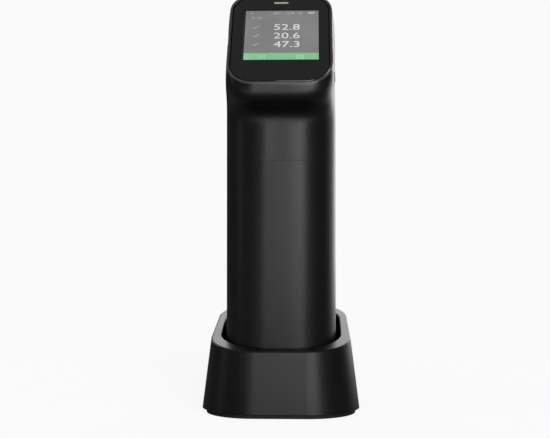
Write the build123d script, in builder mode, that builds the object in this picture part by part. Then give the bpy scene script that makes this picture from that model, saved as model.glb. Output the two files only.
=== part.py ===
from build123d import *
import os
from math import atan2, cos, degrees, hypot, radians, sin, sqrt, tan

# Handheld sphere spectrophotometer standing in its calibration cradle.
# Millimetres. Origin on the table under the middle of the cradle, +Z up,
# the screen looks towards -Y, and +X is to the right of somebody reading it.

# ---------------------------------------------------------------- sizes
# Clearances
slip_gap = 0.15             # lids, plugs and boards in their pockets, all round
key_gap = 0.35              # a key in its opening, all round
spin_gap = 0.06             # radial, a turning neck in its bore
port_gap = 0.2              # between the port ring and what it faces
thread_share = 0.78         # core hole of a self-cutting screw, as a share of its shank

# Cradle
foot_pad_height = 2.2
foot_pad_inset = 2.0
rim_side_width = 5.4        # material beside the well, at the rim's lowest point
rim_end_width = 4.95
cradle_corner_growth = 2.9  # how much its corner radius at the foot exceeds the well's
cradle_side_draft = 0.127   # run inwards per mm of height
cradle_end_draft = 0.094
cradle_wall = 2.4
rim_front_height = 31.5     # lowest point of the rim
rim_slope = 12.5            # degrees, rising to the back
rim_land = 3.0              # material under the rim
rim_break = 0.5             # broken edge along the rim
bottom_plate_thickness = 2.0
well_gap = 2.3              # daylight between handle and well
well_wall = 2.2
well_floor_height = 10.0
well_floor_thickness = 2.4
guide_rib_gap = 0.35
guide_rib_width = 2.4
guide_rib_rise = 17.0
seat_ring_thickness = 2.0
seat_ring_width = 4.2
seat_ring_margin = 0.4
cradle_screw_inset = 12.2   # from the foot's outline, along X and along Y
cradle_boss_radius = 3.3
cradle_boss_height = 18.0
cradle_screw_radius = 1.45
cradle_screw_length = 11.0

# White tile in the cradle
tile_radius = 13.5
tile_thickness = 3.0
tile_cushion_thickness = 2.0
tile_cushion_bore = 7.0
holder_wall = 2.7
holder_floor = 1.8
holder_flange_width = 3.5
holder_flange_thickness = 1.0

# Handle and case
handle_width = 54.0
handle_depth = 66.0
handle_radius = 20.3
handle_rise = 124.0         # straight part, from the nose up
nose_thickness = 3.0
nose_break = 0.8
case_wall = 2.6
seam_position = 2.0         # the case parts in this plane, in Y
seam_width = 0.5
seam_depth = 0.5

# Head
panel_tilt = 50.6           # degrees from the horizontal
chin_rise = 21.5            # from the top of the straight part to the lip
chin_reach = 14.0           # how far the lip stands out over the handle
bend_run_in = 14.0          # straight length that is drawn as one surface with the bend
head_side_tuck = 0.9        # of the head's sides, where the keys and the socket are
display_side_margin = 3.95  # glass beyond the display
display_end_margin = 9.45
glass_radius = 11.2
glass_thickness = 1.5
glass_edge_break = 0.25
bevel_width = 1.1           # sloped border round the glass
bevel_rise = 0.6
border_land = 0.5
gasket_thickness = 0.4
shelf_thickness = 1.8       # the case under the glass

# Screen and the board behind it, in the plane of the panel
screen_offset = 1.0         # middle of the display above the middle of the glass
lcd_width = 39.4
lcd_length = 43.0
lcd_thickness = 3.2
lcd_air = 0.2
lcd_frame_wall = 1.0
lcd_frame_thickness = 0.8
board_width = 32.0
board_length = 57.0
board_thickness = 1.6
board_depth = 12.6          # below the border of the panel
board_post_spacing_x = 22.0
board_post_spacing_y = 52.0
board_post_radius = 2.2
board_screw_radius = 0.95
board_screw_length = 6.0
light_slot_offset = 26.1    # status light above the middle of the glass
light_slot_width = 7.2
light_slot_height = 1.2
light_pipe_flange = 0.8
status_led_height = 0.9
status_led_width = 3.0
status_led_depth = 1.4
chip_height = 1.2
chip_row_offset = 10.0      # above the middle of the board
main_chip_size = 14.0
small_chip_width = 5.0
small_chip_length = 7.0
buzzer_radius = 4.5
buzzer_height = 3.0
buzzer_bore = 1.0

# Case screws, nose screws
case_screw_inset = 7.0      # from the case's side
case_screw_heights = (48.0, 131.0, 185.0)
case_screw_radius = 1.25
case_screw_length = 14.0
case_head_radius = 2.4
case_head_height = 1.8
case_column_radius = 3.25
case_boss_length = 10.0
case_web = 2.4
screw_seat_run = 8.0        # from the parting plane to the screw head's seat
nose_screw_inset_x = 13.0
nose_screw_inset_y = 6.6
nose_screw_radius = 1.25
nose_screw_length = 11.0
nose_boss_radius = 2.6
nose_boss_height = 14.0
spigot_height = 3.0
spigot_wall = 1.5

# Measuring port
port_aperture_radius = 4.0
port_flange_radius = 13.0
port_flange_thickness = 1.4
port_neck_radius = 9.0
port_neck_rise = 5.1
port_lug_reach = 1.6
port_lug_thickness = 1.2
port_lug_width = 5.5
port_twist = 50.0

# Integrating sphere and lamp board
sphere_side_gap = 3.2       # between its flange and the case
sphere_wall = 2.5
sphere_height = 36.0        # height of its middle
sphere_flange_width = 1.7
sphere_flange_thickness = 2.0
sphere_port_radius = 7.0
sphere_collar_wall = 1.5
ear_x = 13.0
ear_y = 20.0
ear_radius = 3.1
ear_post_radius = 2.75
sphere_screw_radius = 1.2
sphere_screw_length = 14.0
crown_inset = 1.5           # the crown's radius under the hollow's
view_angle = 8.0            # degrees off the normal of the sample
view_bore_radius = 3.0
view_tube_wall = 1.2
view_seat = 2.0
lens_thickness = 1.8
lamp_count = 8
lamp_inset = 3.0            # of the ring of lamps, from the crown's edge
lamp_radius = 1.3
lamp_board_bore = 10.0

# Chassis, spectrometer and battery
chassis_tab = 2.0
chassis_leg = 2.5
chassis_end_gap = 3.4       # between its legs and the case
chassis_side_gap = 3.4
chassis_leg_width = 6.0
chassis_deck_height = 60.0
chassis_deck = 2.0
chassis_upright_front = -6.0
chassis_upright = 2.5
chassis_top = 121.0
spectrometer_width = 30.0
spectrometer_depth = 23.5
spectrometer_height = 30.0
spectrometer_wall = 2.0
spectrometer_floor = 3.0
spectrometer_cover_thickness = 2.0
slit_plate_radius = 5.0
slit_plate_thickness = 0.6
slit_width = 0.4
slit_length = 3.0
sensor_board_width = 22.0
sensor_board_height = 14.0
sensor_board_thickness = 1.6
sensor_width = 18.0
sensor_height = 4.0
sensor_thickness = 2.2
grating_width = 12.0
grating_length = 10.0
grating_thick_end = 6.5
grating_thin_end = 3.5
cell_radius = 9.1
cell_length = 65.0
cell_gap = 0.2
strap_thickness = 1.0
strap_height = 8.0
strap_heights = (78.0, 110.0)

# Keys
measure_key_height = 115.0  # height of its middle
measure_key_width = 16.0
measure_key_length = 26.0
measure_key_proud = 1.0
measure_key_travel = 1.2
key_flange_width = 1.2
key_flange_thickness = 1.0
measure_key_body = 8.6      # from the case's back to its inner end
switch_board_width = 13.0
switch_board_thickness = 1.6
switch_post_radius = 2.5
switch_post_spread = 18.0   # either side of the key's middle
switch_size = 6.0
switch_height = 2.4
switch_plunger_radius = 1.6
switch_total_height = 2.8   # with its plunger
power_key_radius = 2.4
power_key_offset = -17.2    # along the panel, from the middle of the glass
power_key_proud = 0.3
power_key_travel = 0.5
power_key_flange = 0.8
power_key_body = 8.1        # from the case's side to its inner end
power_switch_height = 3.2
power_switch_body = 4.2
power_plunger_radius = 1.0
power_plunger_length = 0.8

# Socket and its rubber flap, on the other side of the head
socket_offset = -5.0        # along the panel, from the middle of the glass
socket_width = 8.94
socket_height = 3.26
socket_depth = 7.4
socket_wall = 0.35
socket_recess = 4.0         # its mouth, from the case's side
flap_length = 14.0
flap_width = 7.2
flap_thickness = 1.6
flap_proud = 0.15
flap_swing_gap = 0.5        # at its hinge end, where the flap turns

# ---------------------------------------------------------------- derived
cradle_base_z = foot_pad_height
cradle_rise = rim_front_height - cradle_base_z
seat_z = well_floor_height + seat_ring_thickness      # the nose stands here
case_z = seat_z + nose_thickness                      # lower edge of the case
bend_z = seat_z + handle_rise                         # the head's bend starts here
well_width = handle_width + 2 * well_gap
well_depth = handle_depth + 2 * well_gap
well_radius = handle_radius + well_gap
cradle_width = well_width + 2 * (rim_side_width + cradle_side_draft * cradle_rise)
cradle_depth = well_depth + 2 * (rim_end_width + cradle_end_draft * cradle_rise)
cradle_radius = well_radius + cradle_corner_growth
cradle_screw_spacing_x = cradle_width - 2 * cradle_screw_inset
cradle_screw_spacing_y = cradle_depth - 2 * cradle_screw_inset
nose_screw_spacing_x = handle_width - 2 * nose_screw_inset_x
nose_screw_spacing_y = handle_depth - 2 * nose_screw_inset_y
case_screw_spread = handle_width / 2 - case_screw_inset
sphere_flange_radius = handle_width / 2 - case_wall - sphere_side_gap
sphere_radius = sphere_flange_radius - sphere_flange_width - sphere_wall
crown_radius = sphere_radius - crown_inset
lamp_circle_radius = crown_radius - lamp_inset
chassis_half_width = handle_width / 2 - case_wall - chassis_side_gap
chassis_leg_offset = handle_depth / 2 - case_wall - chassis_end_gap - chassis_leg / 2
measure_key_face = handle_depth / 2 - measure_key_body
switch_reach = measure_key_face - measure_key_travel - port_gap
switch_board_back = switch_reach - switch_total_height
head_side = handle_width / 2 - head_side_tuck
power_key_inner = head_side - power_key_body
socket_mouth = head_side - socket_recess
glass_width = lcd_width + 2 * display_side_margin
glass_length = lcd_length + 2 * display_end_margin
tilt = radians(panel_tilt)
border = bevel_width + border_land
panel_width = glass_width + 2 * border
panel_length = glass_length + 2 * border
panel_radius = glass_radius + border

# Border plane of the panel: its lower end is the lip, its upper end the crown
lip_y = -handle_depth / 2 - chin_reach
lip_z = bend_z + chin_rise
crown_y = lip_y + panel_length * cos(tilt)
crown_z = lip_z + panel_length * sin(tilt)
panel_plane = Plane(
    origin=(0, (lip_y + crown_y) / 2, (lip_z + crown_z) / 2),
    x_dir=(1, 0, 0),
    z_dir=(0, -sin(tilt), cos(tilt)),
)

# The back bends forward on one arc, from the handle's back to the crown
back_turn = 2 * atan2(handle_depth / 2 - crown_y, crown_z - bend_z)
back_bend_radius = (crown_z - bend_z) / sin(back_turn)


def back_point(share):
    """Point (y, z) on the arc of the back, share 0 at the handle, 1 at the crown."""
    turned = share * back_turn
    y = handle_depth / 2 - back_bend_radius * (1 - cos(turned))
    return y, bend_z + back_bend_radius * sin(turned)


# Sections of the head: share of the chin's reach and rise at the front, share of the
# back's arc, how far each side tucks in at the front and at the back, and how far the
# corners have closed from the handle's radius to the panel's.
head_sections = (
    (0.000, 0.000, 0.000, 0.00, 0.00, 0.00),
    (0.000, 0.160, 0.120, 0.00, 0.00, 0.03),
    (0.030, 0.300, 0.225, 0.10, 0.00, 0.10),
    (0.180, 0.430, 0.345, 0.30, 0.00, 0.22),
    (0.500, 0.520, 0.510, 0.60, 0.00, 0.40),
    (0.820, 0.605, 0.675, 0.90, 0.05, 0.60),
    (0.995, 0.730, 0.800, 1.20, 0.25, 0.78),
    (1.035, 0.865, 0.900, 1.50, 0.80, 0.91),
)


def section_plane(front, back):
    """Plane across the case through a front and a back point, and its depth."""
    depth = hypot(back[0] - front[0], back[1] - front[1])
    lean = atan2(back[1] - front[1], back[0] - front[0])
    middle = (0, (front[0] + back[0]) / 2, (front[1] + back[1]) / 2)
    return Plane(origin=middle, x_dir=(1, 0, 0), z_dir=(0, -sin(lean), cos(lean))), depth


arc_steps = 5               # points of a section's outline on a corner,
side_steps = 4              # along a side
end_steps = 2               # and along its front or back


def case_outline(width, depth, radius, front_tuck=0.0):
    """Closed curve along a rounded rectangle, its points matched from section to section."""
    arcs = []
    for number, (side_x, side_y) in enumerate(((-1, -1), (-1, 1), (1, 1), (1, -1))):
        tuck = front_tuck if side_y < 0 else 0.0
        middle = Vector(side_x * (width / 2 - tuck - radius), side_y * (depth / 2 - radius))
        turns = [radians(-90 - 90 * number - 90 * step / arc_steps) for step in range(arc_steps + 1)]
        arcs.append([middle + Vector(cos(turn), sin(turn)) * radius for turn in turns])
    points = []
    for number, arc in enumerate(arcs):
        run = arcs[(number + 1) % 4][0] - arc[-1]
        steps = end_steps if number % 2 else side_steps
        points += arc + [arc[-1] + run * (step / steps) for step in range(1, steps)]
    with BuildLine() as outline:
        Spline(*points, periodic=True)
    return outline.line


def case_volume(inset):
    """Solid shape of the whole case, drawn in by inset all round."""
    with BuildPart() as volume:
        handle = (handle_width - 2 * inset, handle_depth - 2 * inset, handle_radius - inset)
        with BuildSketch(Plane.XY.offset(case_z)):
            add(case_outline(*handle))
            make_face()
        extrude(amount=bend_z - bend_run_in - case_z)
        for below in (bend_run_in, bend_run_in / 2):
            with BuildSketch(Plane.XY.offset(bend_z - below)):
                add(case_outline(*handle))
                make_face()
        for reach, rise, arc, front_tuck, back_tuck, closed in head_sections:
            front = (-handle_depth / 2 - reach * chin_reach, bend_z + rise * chin_rise)
            plane, depth = section_plane(front, back_point(arc))
            radius = handle_radius + closed * (panel_radius - handle_radius)
            with BuildSketch(plane):
                width = handle_width - 2 * (inset + back_tuck)
                add(case_outline(width, depth - 2 * inset, radius - inset, front_tuck - back_tuck))
                make_face()
        with BuildSketch(panel_plane):
            add(case_outline(panel_width - 2 * inset, panel_length - 2 * inset, panel_radius - inset))
            make_face()
        loft()
    return volume.part


def panel_at(depth):
    """Plane parallel to the panel, depth below its border."""
    return panel_plane.offset(-depth)


def side_plane(side, distance, along, depth):
    """Plane across X at a place beside the panel, its x axis running up the panel."""
    origin = panel_at(depth).from_local_coords(Vector(0, along, 0))
    return Plane(
        origin=(side * distance, origin.Y, origin.Z),
        x_dir=(0, cos(tilt), sin(tilt)),
        z_dir=(side, 0, 0),
    )


glass_top = bevel_rise
glass_bottom = glass_top + glass_thickness
shelf_top = glass_bottom + gasket_thickness
shelf_bottom = shelf_top + shelf_thickness
board_back = board_depth + board_thickness


def countersunk_screw(radius, length, clamped):
    """Countersunk screw standing on its head, its core drawn where it has cut a thread."""
    core = radius * thread_share
    with BuildPart() as screw:
        with BuildSketch(Plane.XZ):
            with BuildLine():
                Polyline(
                    (0, 0),
                    (2 * radius, 0),
                    (radius, radius),
                    (radius, clamped),
                    (core, clamped),
                    (core, length - radius),
                    (0, length),
                    close=True,
                )
            make_face()
        revolve(axis=Axis.Z)
    return screw.part


# ---------------------------------------------------------------- cradle
def cradle_section(height, inset):
    """Width, depth and corner radius of the cradle at a height, drawn in by inset."""
    run = height - cradle_base_z
    width = cradle_width - 2 * (inset + cradle_side_draft * run)
    depth = cradle_depth - 2 * (inset + cradle_end_draft * run)
    return width, depth, cradle_radius - inset - cradle_end_draft * run


rim_rise = radians(rim_slope)
rim_front_y = -cradle_depth / 2 + cradle_end_draft * (rim_front_height - cradle_base_z)
rim_plane = Plane(
    origin=(0, rim_front_y, rim_front_height),
    x_dir=(1, 0, 0),
    z_dir=(0, -sin(rim_rise), cos(rim_rise)),
)
cradle_top = rim_front_height + (cradle_depth + 2) * tan(rim_rise)


def cradle_volume(inset, below_rim):
    """Solid flared shape of the cradle, drawn in by inset and cut below the rim."""
    with BuildPart() as volume:
        for height in (cradle_base_z, cradle_top):
            with BuildSketch(Plane.XY.offset(height)):
                RectangleRounded(*cradle_section(height, inset))
        loft()
        split(bisect_by=rim_plane.offset(-below_rim), keep=Keep.BOTTOM)
    return volume.part


cradle_cavity = cradle_volume(cradle_wall, rim_land)
cradle_outside = cradle_volume(0, 0)
well_floor_bottom = well_floor_height - well_floor_thickness
holder_radius = tile_radius + slip_gap + holder_wall
guide_rib_reach = well_gap - guide_rib_gap

with BuildPart() as cradle_shell:
    add(cradle_outside)
    add(cradle_cavity, mode=Mode.SUBTRACT)
    # sleeve and floor of the well
    with BuildSketch(Plane.XY.offset(well_floor_bottom)):
        RectangleRounded(well_width + 2 * well_wall, well_depth + 2 * well_wall, well_radius + well_wall)
    extrude(amount=cradle_top - well_floor_bottom)
    # bosses for the bottom plate's screws
    with BuildSketch(Plane.XY.offset(cradle_base_z + bottom_plate_thickness)):
        with GridLocations(cradle_screw_spacing_x, cradle_screw_spacing_y, 2, 2):
            Circle(cradle_boss_radius)
    extrude(amount=cradle_boss_height)
    # webs that tie the skirt to the sleeve
    with BuildSketch(Plane.XY.offset(cradle_base_z + bottom_plate_thickness)):
        Rectangle(cradle_width, cradle_wall)
        Rectangle(cradle_wall, cradle_depth)
        Rectangle(well_width, well_depth, mode=Mode.SUBTRACT)
    extrude(amount=rim_front_height - cradle_base_z - bottom_plate_thickness - rim_land)
    add(cradle_outside, mode=Mode.INTERSECT)
    # the well, and the hole for the tile holder in its floor
    with BuildSketch(Plane.XY.offset(well_floor_height)):
        RectangleRounded(well_width, well_depth, well_radius)
    extrude(amount=cradle_top - well_floor_height, mode=Mode.SUBTRACT)
    with BuildSketch(Plane.XY.offset(well_floor_bottom)):
        Circle(holder_radius + slip_gap)
    extrude(amount=well_floor_thickness, mode=Mode.SUBTRACT)
    rim_edges = cradle_shell.faces().filter_by(
        lambda face: (face.normal_at() - rim_plane.z_dir).length < 1e-3
    ).edges()
    chamfer(rim_edges, length=rim_break)
    # guide ribs that centre the handle
    with BuildSketch(Plane.XY.offset(well_floor_height)):
        with GridLocations(well_width - guide_rib_reach, well_radius, 2, 2):
            Rectangle(guide_rib_reach, guide_rib_width)
        with GridLocations(handle_width - 2 * handle_radius, well_depth - guide_rib_reach, 2, 2):
            Rectangle(guide_rib_width, guide_rib_reach)
    extrude(amount=guide_rib_rise)
    with BuildSketch(Plane.XY.offset(cradle_base_z + bottom_plate_thickness)):
        with GridLocations(cradle_screw_spacing_x, cradle_screw_spacing_y, 2, 2):
            Circle(cradle_screw_radius * thread_share)
    extrude(amount=cradle_screw_length, mode=Mode.SUBTRACT)
cradle_shell.part.label = "cradle_shell"

with BuildPart() as cradle_bottom_plate:
    with BuildSketch(Plane.XY.offset(cradle_base_z)):
        RectangleRounded(*cradle_section(cradle_base_z + bottom_plate_thickness, cradle_wall + slip_gap))
    extrude(amount=bottom_plate_thickness)
    chamfer(cradle_bottom_plate.faces().sort_by(Axis.Z)[-1].edges(), length=0.4)
    with Locations(Plane(origin=(0, 0, cradle_base_z), z_dir=(0, 0, -1))):
        with GridLocations(cradle_screw_spacing_x, cradle_screw_spacing_y, 2, 2):
            CounterSinkHole(cradle_screw_radius + slip_gap, 2 * cradle_screw_radius + slip_gap)
cradle_bottom_plate.part.label = "cradle_bottom_plate"

with BuildPart() as cradle_foot_pad:
    with BuildSketch():
        RectangleRounded(
            cradle_width - 2 * foot_pad_inset,
            cradle_depth - 2 * foot_pad_inset,
            cradle_radius - foot_pad_inset,
        )
        with GridLocations(cradle_screw_spacing_x, cradle_screw_spacing_y, 2, 2):
            Circle(2 * cradle_screw_radius + key_gap, mode=Mode.SUBTRACT)
    extrude(amount=foot_pad_height)
cradle_foot_pad.part.label = "cradle_foot_pad"

with BuildPart() as cradle_screws:
    with Locations(Plane.XY.offset(cradle_base_z)):
        with GridLocations(cradle_screw_spacing_x, cradle_screw_spacing_y, 2, 2):
            add(countersunk_screw(cradle_screw_radius, cradle_screw_length, bottom_plate_thickness))
cradle_screws.part.label = "cradle_screws"

holder_top = well_floor_height + holder_flange_thickness
tile_top = seat_z - 2 * port_gap
cushion_top = tile_top - tile_thickness
cushion_bottom = cushion_top - tile_cushion_thickness
holder_bottom = cushion_bottom - holder_floor

with BuildPart() as tile_holder:
    with BuildSketch(Plane.XY.offset(holder_bottom)):
        Circle(holder_radius)
    extrude(amount=holder_top - holder_bottom)
    with BuildSketch(Plane.XY.offset(well_floor_height)):
        Circle(holder_radius + holder_flange_width)
    extrude(amount=holder_flange_thickness)
    with BuildSketch(Plane.XY.offset(cushion_bottom)):
        Circle(tile_radius + slip_gap)
    extrude(amount=holder_top - cushion_bottom, mode=Mode.SUBTRACT)
tile_holder.part.label = "tile_holder"

with BuildPart() as tile_cushion:
    with BuildSketch(Plane.XY.offset(cushion_bottom)):
        Circle(tile_radius)
        Circle(tile_cushion_bore, mode=Mode.SUBTRACT)
    extrude(amount=tile_cushion_thickness)
tile_cushion.part.label = "tile_cushion"

with BuildPart() as white_tile:
    with BuildSketch(Plane.XY.offset(cushion_top)):
        Circle(tile_radius)
    extrude(amount=tile_thickness)
    chamfer(white_tile.faces().sort_by(Axis.Z)[-1].edges(), length=0.3)
white_tile.part.label = "white_tile"

with BuildPart() as seat_ring:
    with BuildSketch(Plane.XY.offset(well_floor_height)):
        RectangleRounded(
            handle_width - 2 * seat_ring_margin,
            handle_depth - 2 * seat_ring_margin,
            handle_radius - seat_ring_margin,
        )
        offset(amount=-seat_ring_width, mode=Mode.SUBTRACT)
    extrude(amount=seat_ring_thickness)
seat_ring.part.label = "seat_ring"

# ---------------------------------------------------------------- case
case_outside = case_volume(0)
seam_core = case_volume(seam_depth)
parting_plane = Plane.XZ.offset(-seam_position)       # faces the front

with BuildPart() as case_cavity:
    add(case_volume(case_wall))
    split(bisect_by=panel_at(shelf_bottom), keep=Keep.BOTTOM)
case_cavity = case_cavity.part

with BuildPart() as seam_groove:
    with BuildSketch(Plane.XZ.offset(-seam_position - seam_width / 2)):
        with Locations((0, (case_z + crown_z) / 2)):
            Rectangle(2 * handle_width, crown_z)
    extrude(amount=seam_width)
    add(seam_core, mode=Mode.SUBTRACT)
seam_groove = seam_groove.part

measure_key_plane = Plane(origin=(0, 0, measure_key_height), x_dir=(-1, 0, 0), z_dir=(0, 1, 0))
power_key_depth = board_depth - power_switch_height / 2
socket_depth_in_panel = board_depth - socket_height / 2
socket_side = side_plane(-1, head_side, socket_offset, socket_depth_in_panel)
power_side = side_plane(1, head_side, power_key_offset, power_key_depth)
flap_barrel_radius = flap_thickness / 2
flap_window_length = socket_width + 2 * slip_gap
flap_window_width = socket_height + 2 * slip_gap

# Everything cut through the case before it is parted
with BuildPart() as case_openings:
    # seat of the glass with its sloped border
    with BuildSketch(panel_at(glass_bottom + gasket_thickness)):
        RectangleRounded(glass_width + 2 * slip_gap, glass_length + 2 * slip_gap, glass_radius + slip_gap)
    extrude(amount=glass_bottom + gasket_thickness)
    with BuildSketch(panel_at(glass_top)):
        RectangleRounded(glass_width + 2 * slip_gap, glass_length + 2 * slip_gap, glass_radius + slip_gap)
    with BuildSketch(panel_at(0)):
        RectangleRounded(
            glass_width + 2 * bevel_width,
            glass_length + 2 * bevel_width,
            glass_radius + bevel_width,
        )
    loft()
    # windows for the display and the status light
    with BuildSketch(panel_at(shelf_bottom)):
        with Locations((0, screen_offset)):
            Rectangle(lcd_width + 2 * key_gap, lcd_length + 2 * key_gap)
        with Locations((0, light_slot_offset)):
            Rectangle(light_slot_width + 2 * slip_gap, light_slot_height + 2 * slip_gap)
    extrude(amount=shelf_bottom)
    # openings for the measuring key, the power key and the socket
    with BuildSketch(measure_key_plane.offset(measure_key_face)):
        SlotOverall(
            measure_key_length + 2 * key_gap,
            measure_key_width + 2 * key_gap,
            rotation=90,
        )
    extrude(amount=handle_depth / 2)
    with BuildSketch(power_side):
        Circle(power_key_radius + key_gap)
    extrude(amount=case_wall + 1, both=True)
    with BuildSketch(socket_side.offset(-case_wall - 1)):
        SlotOverall(flap_window_length, flap_window_width)
    extrude(amount=2 * case_wall)
    with BuildSketch(socket_side.offset(-flap_thickness - slip_gap)):
        with Locations(((slip_gap - flap_swing_gap) / 2, 0)):
            Rectangle(flap_length + slip_gap + flap_swing_gap, flap_width + 2 * slip_gap)
    extrude(amount=2 * case_wall)
case_openings = case_openings.part

with BuildPart() as case_blank:
    add(case_outside)
    add(case_cavity, mode=Mode.SUBTRACT)
    add((case_openings, seam_groove), mode=Mode.SUBTRACT)
case_blank = case_blank.part

# Columns in the rear shell that take the case screws
with BuildPart() as rear_columns:
    with BuildSketch(parting_plane):
        for height in case_screw_heights:
            with Locations((-case_screw_spread, height), (case_screw_spread, height)):
                Circle(case_column_radius)
    extrude(amount=-handle_depth / 2)
    add(seam_core, mode=Mode.INTERSECT)
rear_columns = rear_columns.part

# Bosses in the front shell, webbed to its sides
with BuildPart() as front_bosses:
    with BuildSketch(parting_plane):
        for height in case_screw_heights:
            with Locations((-case_screw_spread, height), (case_screw_spread, height)):
                Circle(case_column_radius)
            for side in (-1, 1):
                with Locations((side * (case_screw_spread + case_column_radius), height)):
                    Rectangle(2 * case_column_radius, case_web)
    extrude(amount=case_boss_length)
    add(seam_core, mode=Mode.INTERSECT)
front_bosses = front_bosses.part


def nose_bosses(side):
    """Two bosses for the nose screws, webbed to the front (-1) or rear (1) wall."""
    boss_y = side * nose_screw_spacing_y / 2
    with BuildPart() as bosses:
        with BuildSketch(Plane.XY.offset(case_z)):
            with GridLocations(nose_screw_spacing_x, 0, 2, 1):
                with Locations((0, boss_y)):
                    Circle(nose_boss_radius)
        extrude(amount=nose_boss_height)
        with BuildSketch(Plane.XY.offset(case_z + spigot_height + slip_gap)):
            with GridLocations(nose_screw_spacing_x, 0, 2, 1):
                with Locations((0, boss_y + side * nose_boss_radius)):
                    Rectangle(case_web, 2 * nose_boss_radius)
        extrude(amount=nose_boss_height - spigot_height - slip_gap)
        add(seam_core, mode=Mode.INTERSECT)
        with BuildSketch(Plane.XY.offset(case_z)):
            with GridLocations(nose_screw_spacing_x, nose_screw_spacing_y, 2, 2):
                Circle(nose_screw_radius * thread_share)
        extrude(amount=nose_screw_length, mode=Mode.SUBTRACT)
    return bosses.part


with BuildPart() as front_shell:
    add(case_blank)
    split(bisect_by=parting_plane, keep=Keep.TOP)
    add(front_bosses)
    add(nose_bosses(-1))
    with BuildSketch(parting_plane):
        for height in case_screw_heights:
            with Locations((-case_screw_spread, height), (case_screw_spread, height)):
                Circle(case_screw_radius * thread_share)
    extrude(amount=case_boss_length - case_wall, mode=Mode.SUBTRACT)
    # posts that carry the main board
    with BuildSketch(panel_at(shelf_bottom)):
        with GridLocations(board_post_spacing_x, board_post_spacing_y, 2, 2):
            Circle(board_post_radius)
    extrude(amount=-(board_depth - shelf_bottom))
    with BuildSketch(panel_at(board_depth)):
        with GridLocations(board_post_spacing_x, board_post_spacing_y, 2, 2):
            Circle(board_screw_radius * thread_share)
    extrude(amount=board_screw_length - board_thickness, mode=Mode.SUBTRACT)
front_shell.part.label = "front_shell"

with BuildPart() as rear_shell:
    add(case_blank)
    split(bisect_by=parting_plane, keep=Keep.BOTTOM)
    add(rear_columns)
    add(nose_bosses(1))
    with BuildSketch(parting_plane.offset(-screw_seat_run)):
        for height in case_screw_heights:
            with Locations((-case_screw_spread, height), (case_screw_spread, height)):
                Circle(case_head_radius + slip_gap)
    extrude(amount=-handle_depth / 2, mode=Mode.SUBTRACT)
    with BuildSketch(parting_plane):
        for height in case_screw_heights:
            with Locations((-case_screw_spread, height), (case_screw_spread, height)):
                Circle(case_screw_radius + slip_gap)
    extrude(amount=-screw_seat_run, mode=Mode.SUBTRACT)
    # posts that carry the switch board behind the measuring key
    with BuildSketch(measure_key_plane.offset(switch_board_back)):
        with Locations((0, -switch_post_spread), (0, switch_post_spread)):
            Circle(switch_post_radius)
    extrude(amount=handle_depth / 2 - case_wall / 2 - switch_board_back)
    with BuildSketch(measure_key_plane.offset(switch_board_back)):
        with Locations((0, -switch_post_spread), (0, switch_post_spread)):
            Circle(board_screw_radius * thread_share)
    extrude(amount=board_screw_length - switch_board_thickness, mode=Mode.SUBTRACT)
rear_shell.part.label = "rear_shell"

screw_axis_plane = parting_plane.offset(-screw_seat_run)
with BuildPart() as case_screws:
    with BuildSketch(screw_axis_plane):
        for height in case_screw_heights:
            with Locations((-case_screw_spread, height), (case_screw_spread, height)):
                Circle(case_head_radius)
    extrude(amount=-case_head_height)
    with BuildSketch(screw_axis_plane):
        for height in case_screw_heights:
            with Locations((-case_screw_spread, height), (case_screw_spread, height)):
                Circle(case_screw_radius * thread_share)
    extrude(amount=case_screw_length)
    with BuildSketch(screw_axis_plane.offset(-case_head_height)):
        for height in case_screw_heights:
            with Locations((-case_screw_spread, height), (case_screw_spread, height)):
                RegularPolygon(case_screw_radius, 6)
    extrude(amount=case_head_height / 2, mode=Mode.SUBTRACT)
case_screws.part.label = "case_screws"

# ---------------------------------------------------------------- nose
nose_plane = Plane(origin=(0, 0, seat_z), z_dir=(0, 0, -1))
port_recess = port_flange_thickness - port_gap + slip_gap
sphere_flange_bottom = sphere_height - sphere_flange_thickness
ear_places = [(ear_x, ear_y), (-ear_x, ear_y), (-ear_x, -ear_y), (ear_x, -ear_y)]

with BuildPart() as nose_plate:
    with BuildSketch(Plane.XY.offset(seat_z)):
        RectangleRounded(handle_width, handle_depth, handle_radius)
    extrude(amount=nose_thickness)
    chamfer(nose_plate.faces().sort_by(Axis.Z)[0].edges(), length=nose_break)
    # spigot inside the case, left open round the case's own bosses
    with BuildSketch(Plane.XY.offset(case_z)):
        RectangleRounded(
            handle_width - 2 * (case_wall + slip_gap),
            handle_depth - 2 * (case_wall + slip_gap),
            handle_radius - case_wall - slip_gap,
        )
        offset(amount=-spigot_wall, mode=Mode.SUBTRACT)
        with GridLocations(nose_screw_spacing_x, nose_screw_spacing_y, 2, 2):
            Rectangle(2 * (nose_boss_radius + slip_gap), handle_depth / 4, mode=Mode.SUBTRACT)
    extrude(amount=spigot_height)
    # posts that carry the sphere
    with BuildSketch(Plane.XY.offset(case_z)):
        with Locations(*ear_places):
            Circle(ear_post_radius)
    extrude(amount=sphere_flange_bottom - case_z)
    with BuildSketch(Plane.XY.offset(sphere_flange_bottom)):
        with Locations(*ear_places):
            Circle(sphere_screw_radius * thread_share)
    extrude(amount=-(sphere_screw_length - 2 * sphere_flange_thickness), mode=Mode.SUBTRACT)
    # seat, bore and entry slots of the port ring
    with BuildSketch(Plane.XY.offset(seat_z)):
        Circle(port_flange_radius + slip_gap)
    extrude(amount=port_recess, mode=Mode.SUBTRACT)
    with BuildSketch(Plane.XY.offset(seat_z)):
        Circle(port_neck_radius + spin_gap)
        with PolarLocations(port_neck_radius, 3, start_angle=60):
            Rectangle(2 * (port_lug_reach + slip_gap), port_lug_width + 2 * key_gap)
    extrude(amount=nose_thickness, mode=Mode.SUBTRACT)
    with Locations(nose_plane):
        with GridLocations(nose_screw_spacing_x, nose_screw_spacing_y, 2, 2):
            CounterSinkHole(nose_screw_radius + slip_gap, 2 * nose_screw_radius + slip_gap)
nose_plate.part.label = "nose_plate"

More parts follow.
